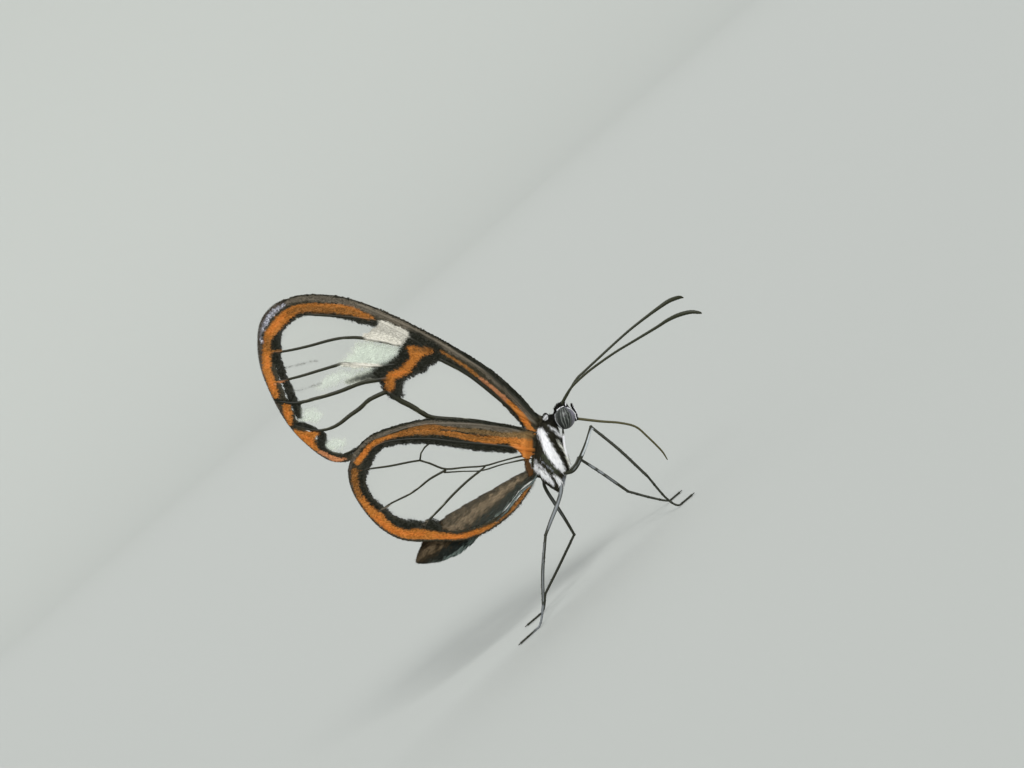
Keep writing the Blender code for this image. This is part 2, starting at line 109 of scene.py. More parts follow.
if min(face.normal.z for face in bm.faces) < -0.5:
    bmesh.ops.reverse_faces(bm, faces=bm.faces)
sweep_mesh = bpy.data.meshes.new("studio_floor")
bm.to_mesh(sweep_mesh)
bm.free()
sweep_mesh.shade_smooth()
sweep = bpy.data.objects.new("studio_floor", sweep_mesh)
bpy.context.scene.collection.objects.link(sweep)
sweep_finish = bpy.data.materials.new("pale_paper")
sweep_finish.use_nodes = True
sweep_shader = sweep_finish.node_tree.nodes["Principled BSDF"]
sweep_shader.inputs["Base Color"].default_value = SHADE_OF_PAPER
sweep_shader.inputs["Roughness"].default_value = PAPER_ROUGHNESS
sweep_mesh.materials.append(sweep_finish)

world = bpy.data.worlds.new("studio_air")
world.use_nodes = True
world.node_tree.nodes["Background"].inputs["Color"].default_value = SHADE_OF_AIR
world.node_tree.nodes["Background"].inputs["Strength"].default_value = AIR_LIGHT
bpy.context.scene.world = world
# Each lamp is where it shines from, how wide it looks in degrees, and its power.
LAMPS = {
    "key_lamp": ((0.26, -0.79, 0.56), 20.0, 2.55),
    "back_lamp": ((0.20, 0.60, 0.77), 60.0, 0.8),
}
for lamp_name, (spot, lamp_angle, power) in LAMPS.items():
    lamp_data = bpy.data.lights.new(lamp_name, "SUN")
    lamp_data.angle = math.radians(lamp_angle)
    lamp_data.energy = power
    lamp = bpy.data.objects.new(lamp_name, lamp_data)
    lamp.location = spot
    lamp.rotation_euler = (-Vector(spot)).to_track_quat("-Z", "Y").to_euler()
    bpy.context.scene.collection.objects.link(lamp)

# Wing membranes
# Each wing is one clear sheet of horn a few hundredths of a millimetre thick, a little
# pleated, grown from the side of the thorax. Flat scales colour it in bands, and it is bare
# and clear between them. Closed over the back, the left wings hang a little lower.
FOREWING_OUTLINE = [
    (-1.10, 3.50), (-1.70, 3.85), (-3.20, 5.50), (-5.20, 7.35), (-7.20, 8.80), (-10.20, 10.60),
    (-13.20, 12.20), (-16.20, 13.65), (-19.20, 14.85), (-22.00, 15.50), (-25.20, 15.50),
    (-27.35, 14.80), (-28.80, 13.40), (-29.35, 11.50), (-29.15, 8.60), (-28.05, 5.60), (-26.45, 2.75),
    (-24.60, 0.70), (-22.30, -0.95), (-20.30, -1.05), (-18.80, -0.10), (-17.20, 0.55), (-14.20, 1.05),
    (-9.20, 1.30), (-5.20, 1.60), (-2.70, 1.80), (-1.10, 1.20), (-0.60, 2.40),
]
HINDWING_OUTLINE = [
    (-0.40, 1.30), (-2.20, 2.05), (-5.20, 2.75), (-9.20, 3.20), (-12.20, 3.20), (-15.20, 2.65),
    (-18.20, 1.50), (-19.75, -0.15), (-20.35, -2.00), (-19.90, -4.10), (-18.50, -6.30),
    (-16.75, -8.00), (-14.60, -8.95), (-11.60, -9.00), (-8.70, -8.90), (-6.15, -7.85), (-3.80, -6.00),
    (-2.20, -3.90), (-1.60, -2.80), (-0.60, -1.70), (-0.20, -0.20),
]


def paint(red, green, blue):
    """Linear colour from the values from 0 to 255 that it has on a screen."""
    shown = np.array([red, green, blue]) / 255
    return np.where(shown <= 0.04045, shown / 12.92, ((shown + 0.055) / 1.055) ** 2.4)


CLEAR = paint(206, 208, 190)
SOOT = paint(26, 27, 16)
UMBER = paint(50, 46, 31)
VEIN_HORN = paint(38, 38, 20)
OLIVE_BROWN = paint(112, 88, 54)
MOUSE = paint(98, 90, 77)
RIM = paint(72, 64, 54)
ORANGE = paint(176, 108, 40)
BRIGHT_ORANGE = paint(198, 114, 42)
BURNT_ORANGE = paint(138, 90, 38)
ROOT_ORANGE = paint(196, 120, 50)
SALMON = paint(192, 128, 84)
CHALK = paint(196, 192, 180)
FROST = paint(214, 222, 208)
SILVER = paint(214, 214, 226)
BLUE_GREY = paint(150, 170, 170)

# Forewing veins as (x, z, half width), from the root outwards
FOREWING_VEINS = [
    [(-1.4, 2.9, 0.26), (-4.2, 5.7, 0.24), (-7.3, 8.3, 0.18), (-13.5, 11.9, 0.14), (-19.5, 14.6, 0.1)],
    [(-1.4, 2.5, 0.22), (-4.4, 4.5, 0.2), (-8.2, 7.45, 0.16), (-11.4, 9.2, 0.15)],
    [(-1.4, 1.9, 0.12), (-5.2, 2.55, 0.13), (-7.2, 2.9, 0.15), (-9.2, 3.1, 0.16), (-12.0, 3.3, 0.2),
     (-13.2, 3.9, 0.24), (-14.2, 4.5, 0.24), (-15.2, 5.0, 0.24), (-16.5, 5.9, 0.22)],
    [(-12.2, 9.9, 0.14), (-14.6, 11.5, 0.12), (-17.4, 12.9, 0.1), (-20.2, 13.3, 0.1), (-24.6, 13.6, 0.08)],
    [(-15.2, 10.5, 0.13), (-18.7, 11.2, 0.14), (-20.7, 11.25, 0.12), (-22.2, 11.0, 0.12),
     (-24.2, 10.45, 0.11), (-26.2, 10.0, 0.1), (-28.2, 9.7, 0.08)],
    [(-15.4, 8.6, 0.13), (-17.7, 8.4, 0.13), (-20.7, 8.7, 0.13), (-21.7, 8.45, 0.13),
     (-23.2, 8.0, 0.12), (-25.2, 7.4, 0.11), (-27.6, 6.8, 0.08)],
    [(-16.2, 7.2, 0.2), (-17.7, 7.0, 0.2), (-19.2, 6.7, 0.19), (-21.2, 5.9, 0.17),
     (-23.2, 5.3, 0.16), (-25.5, 4.75, 0.14), (-27.4, 4.9, 0.08)],
    [(-16.5, 5.9, 0.2), (-18.2, 5.1, 0.19), (-19.2, 4.2, 0.19), (-20.2, 3.5, 0.18),
     (-21.2, 2.7, 0.16), (-22.2, 2.2, 0.14), (-23.6, 2.0, 0.12), (-25.8, 2.5, 0.08)],
    [(-12.0, 3.3, 0.14), (-16.2, 1.6, 0.12), (-20.8, -0.4, 0.08)],
    [(-1.5, 1.6, 0.12), (-7.2, 1.6, 0.12), (-12.2, 1.35, 0.1), (-15.2, 1.15, 0.08), (-17.6, 0.5, 0.06)],
]
HINDWING_VEINS = [
    [(-0.9, 1.0, 0.2), (-4.2, 2.15, 0.15), (-9.2, 2.7, 0.12), (-13.7, 2.5, 0.1), (-17.6, 1.2, 0.08)],
    [(-1.2, -0.1, 0.2), (-5.2, 0.5, 0.16), (-9.2, 0.85, 0.14), (-12.4, 1.2, 0.12), (-15.2, 1.1, 0.1),
     (-17.2, 0.7, 0.1), (-18.3, -0.1, 0.08)],
    [(-12.2, 0.8, 0.08), (-12.7, 0.4, 0.08), (-13.1, -0.2, 0.07), (-13.2, -0.9, 0.08)],
    [(-13.2, -0.95, 0.09), (-14.2, -1.1, 0.09), (-16.2, -1.5, 0.09), (-18.4, -1.8, 0.08),
     (-19.4, -2.0, 0.05)],
    [(-1.2, -0.3, 0.07), (-3.4, -0.62, 0.07), (-5.06, -1.03, 0.07), (-6.75, -1.5, 0.08), (-8.7, -1.65, 0.08),
     (-10.7, -1.8, 0.09), (-12.2, -1.25, 0.09), (-13.2, -0.95, 0.09)],
    [(-1.2, -0.7, 0.05), (-3.1, -0.96, 0.06), (-5.06, -1.38, 0.06), (-7.0, -1.97, 0.06), (-9.0, -2.05, 0.06),
     (-10.8, -2.16, 0.07)],
    [(-10.6, -1.9, 0.1), (-12.2, -2.8, 0.09), (-13.2, -3.6, 0.09), (-14.2, -4.3, 0.09),
     (-15.2, -4.8, 0.08), (-16.2, -5.3, 0.08), (-17.2, -6.0, 0.06), (-17.9, -6.6, 0.05)],
    [(-6.65, -1.52, 0.04), (-7.05, -1.9, 0.08), (-8.2, -2.8, 0.09), (-9.2, -3.7, 0.09), (-10.2, -4.7, 0.09),
     (-11.2, -5.8, 0.08), (-12.2, -6.8, 0.08), (-12.6, -7.4, 0.07), (-12.9, -8.2, 0.05)],
    [(-1.5, -2.4, 0.06), (-1.98, -3.28, 0.06), (-3.24, -4.26, 0.05), (-4.5, -5.94, 0.04), (-5.6, -7.1, 0.03)],
]

# Painted marks in the order in which they cover each other: shape, colour, cover, soft edge
# and points. A stripe's points are (x, z, half width) and a patch's are its outline. Marks
# that cover less than 1.0 change nothing where others cover already.
FOREWING_MARKS = [
    ("stripe", UMBER, 1.0, 0.22, [
        (-1.2, 2.8, 0.6), (-2.2, 3.0, 0.85), (-3.4, 4.4, 0.95), (-5.0, 6.1, 0.95), (-7.4, 8.0, 0.85),
        (-10.0, 9.55, 0.85), (-12.2, 10.8, 1.0), (-14.4, 12.2, 0.8), (-17.2, 13.45, 0.6),
        (-18.6, 13.75, 0.85), (-20.3, 14.2, 0.95), (-22.2, 14.5, 0.98), (-24.3, 14.6, 0.98),
        (-26.0, 14.1, 1.0), (-27.3, 13.2, 1.1), (-28.1, 12.0, 1.05), (-28.4, 10.8, 0.85),
        (-28.4, 9.6, 0.85), (-28.3, 8.4, 0.75), (-28.0, 7.3, 0.65), (-27.6, 6.3, 0.6), (-27.1, 5.2, 0.55),
        (-26.5, 4.0, 0.55), (-26.0, 2.9, 0.5), (-25.0, 1.6, 0.55), (-23.7, 0.4, 0.6), (-22.5, -0.4, 0.5),
        (-21.2, -0.75, 0.42), (-20.0, -0.7, 0.3), (-18.7, 0, 0.2), (-17.0, 0.65, 0.14), (-14.2, 1.12, 0.12),
        (-9.2, 1.38, 0.1), (-5.2, 1.68, 0.1), (-3.0, 1.85, 0.1),
    ]),
    ("stripe", MOUSE, 1.0, 0.25, [
        (-1.9, 2.9, 0.2), (-3.0, 4.15, 0.2), (-4.5, 5.8, 0.17), (-6.0, 7.1, 0.15), (-7.45, 8.34, 0.16),
        (-9.1, 9.36, 0.2), (-10.9, 10.38, 0.25), (-13.3, 11.8, 0.36), (-16.3, 13.3, 0.4),
        (-19.3, 14.45, 0.4), (-21.5, 15.0, 0.38), (-24.5, 15.2, 0.34), (-26.6, 14.7, 0.28),
        (-28.1, 13.5, 0.25),
    ]),
    ("stripe", RIM, 1.0, 0.22, [
        (-26.7, 14.9, 0.2), (-28.3, 13.6, 0.22), (-29.0, 12.0, 0.26), (-29.1, 10.0, 0.25),
        (-28.95, 8.3, 0.22), (-28.15, 5.9, 0.18), (-27.1, 3.8, 0.17), (-26.3, 2.6, 0.15),
        (-24.9, 1.05, 0.14), (-23.5, -0.15, 0.14), (-22.2, -0.85, 0.13), (-20.9, -1.05, 0.1),
    ]),
    ("stripe", MOUSE * 1.35, 1.0, 0.12, [
        (-6.6, 7.75, 0.04), (-7.45, 8.36, 0.06), (-9.1, 9.4, 0.06), (-10.4, 10.15, 0.04),
    ]),
    ("stripe", MOUSE * 1.35, 1.0, 0.12, [
        (-10.2, 10.25, 0.06), (-13.2, 11.92, 0.09), (-16.2, 13.32, 0.1), (-18.4, 14.3, 0.1),
        (-20.2, 14.85, 0.06),
    ]),
    ("stripe", SOOT, 1.0, 0.1, [
        (-1.5, 3.4, 0.2), (-2.14, 3.85, 0.2), (-3.16, 5.07, 0.28), (-4.5, 6.4, 0.3), (-6.0, 7.7, 0.28),
        (-7.45, 8.75, 0.24), (-9.1, 9.85, 0.18), (-10.8, 10.9, 0.12), (-13.2, 12.1, 0.09),
        (-16.2, 13.55, 0.08), (-19.2, 14.75, 0.07), (-22, 15.4, 0.06), (-25, 15.42, 0.05),
        (-27.2, 14.75, 0.06),
    ]),
    ("patch", SOOT, 1.0, 0.6, [
        (-14.3, 12.0), (-15.0, 10.5), (-15.5, 9.5), (-16.7, 8.7), (-17.5, 8.25), (-17.9, 7.5), (-17.2, 6.9),
        (-16.9, 6.2), (-16.4, 5.5), (-15.6, 5.2), (-14.95, 5.6), (-15.0, 6.4), (-14.7, 7.0), (-13.9, 7.5),
        (-12.75, 7.9), (-12.4, 8.4), (-11.6, 8.9), (-10.9, 9.2), (-10.9, 10.2), (-12.6, 11.4),
    ]),
    ("patch", SOOT, 0.8, 0.8, [
        (-16.6, 8.6), (-17.4, 8.25), (-18.8, 7.75), (-19.9, 7.3), (-20.6, 6.85), (-19.2, 6.85),
        (-17.4, 7.05), (-16.5, 7.3),
    ]),
    ("patch", FROST, 0.4, 1.2, [
        (-19.0, 10.8), (-15.2, 10.3), (-15.8, 9.1), (-17.2, 8.4), (-21.1, 8.6), (-20.1, 9.7),
    ]),
    ("patch", FROST, 0.3, 1.2, [
        (-21.1, 8.0), (-17.9, 8.0), (-20, 7.2), (-22.2, 6.3), (-23.6, 6.05), (-22.8, 7.2),
    ]),
    ("stripe", FROST, 0.62, 0.5, [(-17.5, 8.6, 0.1), (-18.0, 9.6, 0.18), (-18.2, 10.6, 0.15)]),
    ("patch", CHALK, 1.0, 0.35, [
        (-17.1, 12.95), (-15.7, 12.4), (-14.3, 11.75), (-14.6, 11.0), (-15.1, 10.45), (-17.0, 10.9),
        (-18.7, 11.1), (-18.2, 11.8), (-17.4, 12.4),
    ]),
    ("stripe", CHALK * 1.2, 1.0, 0.12, [(-17.0, 12.9, 0.1), (-15.2, 12.15, 0.12), (-14.4, 11.7, 0.06)]),
    ("stripe", CHALK * 1.35, 1.0, 0.4, [(-18.6, 11.4, 0.2), (-17.2, 11.35, 0.35), (-15.4, 10.8, 0.3)]),
    ("stripe", CHALK * 1.25, 1.0, 0.2, [(-21.0, 8.6, 0.12), (-19.2, 8.5, 0.2), (-17.4, 8.5, 0.1)]),
    ("stripe", SOOT, 1.0, 0.36, [
        (-17.7, 12.65, 0.25), (-18.85, 12.84, 0.18), (-20.5, 13.28, 0.15), (-22.5, 13.62, 0.14),
        (-24.2, 13.72, 0.14), (-25.3, 13.48, 0.14), (-26.3, 12.8, 0.13), (-27.1, 11.95, 0.2),
        (-27.45, 11.2, 0.35), (-27.5, 10.7, 0.4), (-27.45, 10.1, 0.38), (-27.45, 9.7, 0.28),
        (-27.45, 9.2, 0.36), (-27.3, 8.7, 0.38), (-27.05, 8.1, 0.36), (-26.8, 7.3, 0.34),
        (-26.45, 6.6, 0.34), (-26.2, 6.0, 0.35), (-25.95, 5.2, 0.4), (-25.6, 4.5, 0.36),
        (-25.35, 3.9, 0.33), (-25.2, 3.4, 0.2),
    ]),
    ("stripe", SOOT, 1.0, 0.2, [
        (-26.0, 2.4, 0.2), (-25.0, 2.6, 0.25), (-23.9, 2.15, 0.25), (-23.2, 1.75, 0.2),
    ]),
    ("stripe", SOOT, 1.0, 0.22, [
        (-23.1, 1.75, 0.3), (-22.9, 1.15, 0.45), (-23.0, 0.5, 0.35), (-22.5, -0.1, 0.22),
        (-21.6, -0.5, 0.17), (-20.8, -0.55, 0.14), (-20.0, -0.15, 0.12), (-19.2, 0.35, 0.1),
    ]),
    ("stripe", ORANGE, 1.0, 0.22, [
        (-17.87, 13.2, 0.1), (-18.85, 13.5, 0.28), (-20.26, 13.98, 0.4), (-22.1, 14.2, 0.42),
        (-24.2, 14.25, 0.38), (-25.6, 14.0, 0.43), (-26.7, 13.25, 0.52), (-27.6, 12.3, 0.52),
        (-28.2, 11.4, 0.44), (-28.4, 10.55, 0.33), (-28.4, 9.56, 0.42), (-28.45, 8.3, 0.4),
        (-28.15, 7.3, 0.4), (-27.8, 6.3, 0.4), (-27.5, 5.5, 0.3),
    ]),
    ("stripe", BURNT_ORANGE, 1.0, 0.5, [
        (-18.4, 13.3, 0.1), (-20.2, 13.85, 0.25), (-22.5, 14.1, 0.32), (-25.0, 14.1, 0.25),
        (-26.3, 13.65, 0.1),
    ]),
    ("stripe", BURNT_ORANGE * 0.7, 1.0, 0.25, [
        (-21.0, 13.75, 0.03), (-23.0, 13.9, 0.06), (-25.0, 13.85, 0.03),
    ]),
    ("stripe", BURNT_ORANGE, 1.0, 0.5, [(-28.3, 11.1, 0.22), (-28.35, 10.4, 0.28)]),
    ("stripe", BRIGHT_ORANGE, 1.0, 0.35, [(-26.6, 13.5, 0.12), (-27.5, 12.6, 0.2), (-28.1, 11.7, 0.1)]),
    ("stripe", BRIGHT_ORANGE, 1.0, 0.3, [(-28.4, 9.4, 0.14), (-28.35, 8.3, 0.18)]),
    ("stripe", BRIGHT_ORANGE, 1.0, 0.3, [(-28.0, 7.0, 0.14), (-27.7, 6.1, 0.18)]),
    ("stripe", BURNT_ORANGE, 1.0, 0.1, [(-28.2, 9.95, 0.1), (-27.4, 9.9, 0.07), (-26.9, 9.95, 0.03)]),
    ("stripe", SALMON, 1.0, 0.1, [(-27.6, 6.6, 0.08), (-26.8, 6.95, 0.05), (-26.4, 7.05, 0.02)]),
    ("stripe", ORANGE, 1.0, 0.18, [
        (-26.45, 4.35, 0.35), (-26.4, 4.0, 0.42), (-26.2, 3.2, 0.33), (-26.1, 2.7, 0.22),
    ]),
    ("stripe", BRIGHT_ORANGE, 1.0, 0.3, [(-26.5, 4.1, 0.1), (-26.3, 3.4, 0.14)]),
    ("patch", ORANGE, 1.0, 0.22, [
        (-25.7, 2.1), (-24.9, 1.9), (-23.3, 1.8), (-23.7, 1.15), (-23.3, 0.1), (-23.5, -0.05), (-24.6, 0.7),
        (-25.6, 1.6),
    ]),
    ("stripe", BRIGHT_ORANGE, 1.0, 0.25, [(-25.0, 1.5, 0.12), (-24.2, 1.2, 0.18), (-23.8, 0.5, 0.1)]),
    ("stripe", SALMON, 1.0, 0.16, [
        (-23.1, -0.15, 0.18), (-22.8, -0.3, 0.2), (-21.9, -0.78, 0.24), (-21.2, -0.95, 0.2),
        (-20.7, -0.8, 0.1),
    ]),
    ("stripe", SOOT, 1.0, 0.12, [
        (-28.0, 5.1, 0.1), (-27.1, 4.93, 0.18), (-26.2, 4.8, 0.16), (-25.2, 4.7, 0.22),
    ]),
    ("stripe", SILVER * 0.3, 1.0, 0.3, [
        (-26.6, 14.5, 0.08), (-27.4, 14.05, 0.16), (-28.05, 13.45, 0.2), (-28.45, 12.8, 0.18),
        (-28.85, 12.1, 0.12), (-28.95, 11.5, 0.04), (-28.95, 10.9, 0.12),
    ]),
    # Short silver flecks near the tip: place, lean and light of each
    *(
        (
            "stripe", SILVER * light, 1.0, 0.12,
            [(x - 0.06 + lean, z + 0.07, 0.04), (x + 0.06, z - 0.07 + lean, 0.06)],
        )
        for x, z, lean, light in (
            (-26.75, 14.5, 0.0, 0.6), (-26.95, 14.35, 0.05, 0.9), (-27.2, 14.3, -0.05, 0.5),
            (-27.3, 14.05, 0.0, 1.0), (-27.5, 13.85, 0.08, 0.8), (-27.65, 14.0, -0.04, 0.7),
            (-27.8, 13.6, 0.0, 1.0), (-28.0, 13.75, 0.06, 0.6), (-28.05, 13.35, -0.06, 0.9),
            (-28.25, 13.45, 0.05, 0.8), (-28.25, 13.05, 0.0, 1.0), (-28.45, 13.15, 0.04, 0.6),
            (-28.4, 12.75, -0.05, 0.9), (-28.6, 12.8, 0.0, 1.0), (-28.55, 12.45, 0.06, 0.7),
            (-28.75, 12.5, 0.0, 0.9), (-28.75, 12.15, -0.05, 0.8), (-28.9, 12.2, 0.05, 1.0),
            (-28.95, 11.05, 0.0, 1.0), (-28.9, 10.8, 0.05, 0.9),
        )
    ),
    ("stripe", MOUSE * 1.8, 1.0, 0.14, [
        (-29.45, 10.3, 0.04), (-29.3, 9.2, 0.11), (-29.0, 7.6, 0.13), (-28.4, 5.9, 0.12),
        (-27.75, 4.6, 0.08), (-26.9, 3.1, 0.06),
    ]),
    ("patch", FROST, 0.28, 1.0, [
        (-24.9, 4.0), (-23.6, 4.3), (-22.9, 3.6), (-23.2, 2.8), (-24.2, 2.9), (-25.0, 3.2),
    ]),
    ("stripe", FROST, 0.5, 0.3, [(-25.2, 3.0, 0.1), (-24.2, 3.15, 0.1)]),
    ("patch", FROST, 0.28, 1.0, [
        (-22.6, 0.9), (-21.4, 1.3), (-20.4, 0.9), (-20.8, 0.2), (-21.8, -0.1), (-22.5, 0.2),
    ]),
    ("stripe", FROST, 0.45, 0.3, [(-22.6, 0.5, 0.08), (-21.9, 0.25, 0.1)]),
    ("stripe", UMBER, 0.2, 0.3, [(-26.57, 8.3, 0.12), (-23.3, 9.0, 0.12)]),
    ("stripe", UMBER, 0.2, 0.3, [(-25.6, 5.9, 0.12), (-23.1, 6.7, 0.12)]),
    ("patch", ORANGE, 1.0, 0.35, [
        (-14.4, 10.27), (-13.5, 10.3), (-12.3, 10.1), (-11.8, 9.85), (-12.8, 9.4), (-13.45, 8.86),
        (-13.7, 8.4), (-14.2, 7.8), (-14.9, 7.4), (-15.6, 7.1), (-15.8, 6.2), (-16.2, 5.85), (-16.5, 6.2),
        (-16.6, 7.0), (-16.2, 7.7), (-15.3, 8.1), (-14.5, 8.7), (-14.15, 9.35),
    ]),
    ("stripe", BRIGHT_ORANGE, 1.0, 0.3, [(-14.6, 7.85, 0.08), (-15.2, 7.7, 0.16), (-15.8, 7.45, 0.1)]),
    ("stripe", BURNT_ORANGE * 0.7, 1.0, 0.5, [(-12.0, 9.95, 0.15), (-13.0, 10.0, 0.2), (-13.8, 9.95, 0.1)]),
    ("stripe", BURNT_ORANGE * 0.7, 1.0, 0.4, [(-16.3, 6.9, 0.05), (-16.3, 6.2, 0.12)]),
    ("stripe", BURNT_ORANGE, 1.0, 0.14, [
        (-11.1, 9.87, 0.1), (-9.9, 9.15, 0.12), (-8.6, 8.34, 0.14), (-7.45, 7.4, 0.15),
    ]),
    ("stripe", SALMON * 0.7, 1.0, 0.14, [
        (-7.2, 7.2, 0.14), (-6.5, 6.7, 0.18), (-5.5, 5.8, 0.2), (-4.5, 5.0, 0.22),
    ]),
    ("stripe", ORANGE, 1.0, 0.15, [
        (-4.4, 4.9, 0.18), (-3.77, 4.26, 0.26), (-3.06, 3.44, 0.29), (-2.44, 2.52, 0.3), (-1.93, 1.8, 0.25),
    ]),
    ("stripe", BRIGHT_ORANGE, 1.0, 0.25, [(-3.3, 3.7, 0.1), (-2.5, 2.6, 0.14)]),
    ("stripe", SOOT, 1.0, 0.14, [
        (-11.3, 9.26, 0.22), (-9.7, 8.54, 0.15), (-8.06, 7.42, 0.14), (-6.4, 6.2, 0.13), (-5.0, 4.97, 0.13),
        (-3.77, 3.74, 0.12), (-2.96, 2.62, 0.1), (-2.65, 1.9, 0.08),
    ]),
]
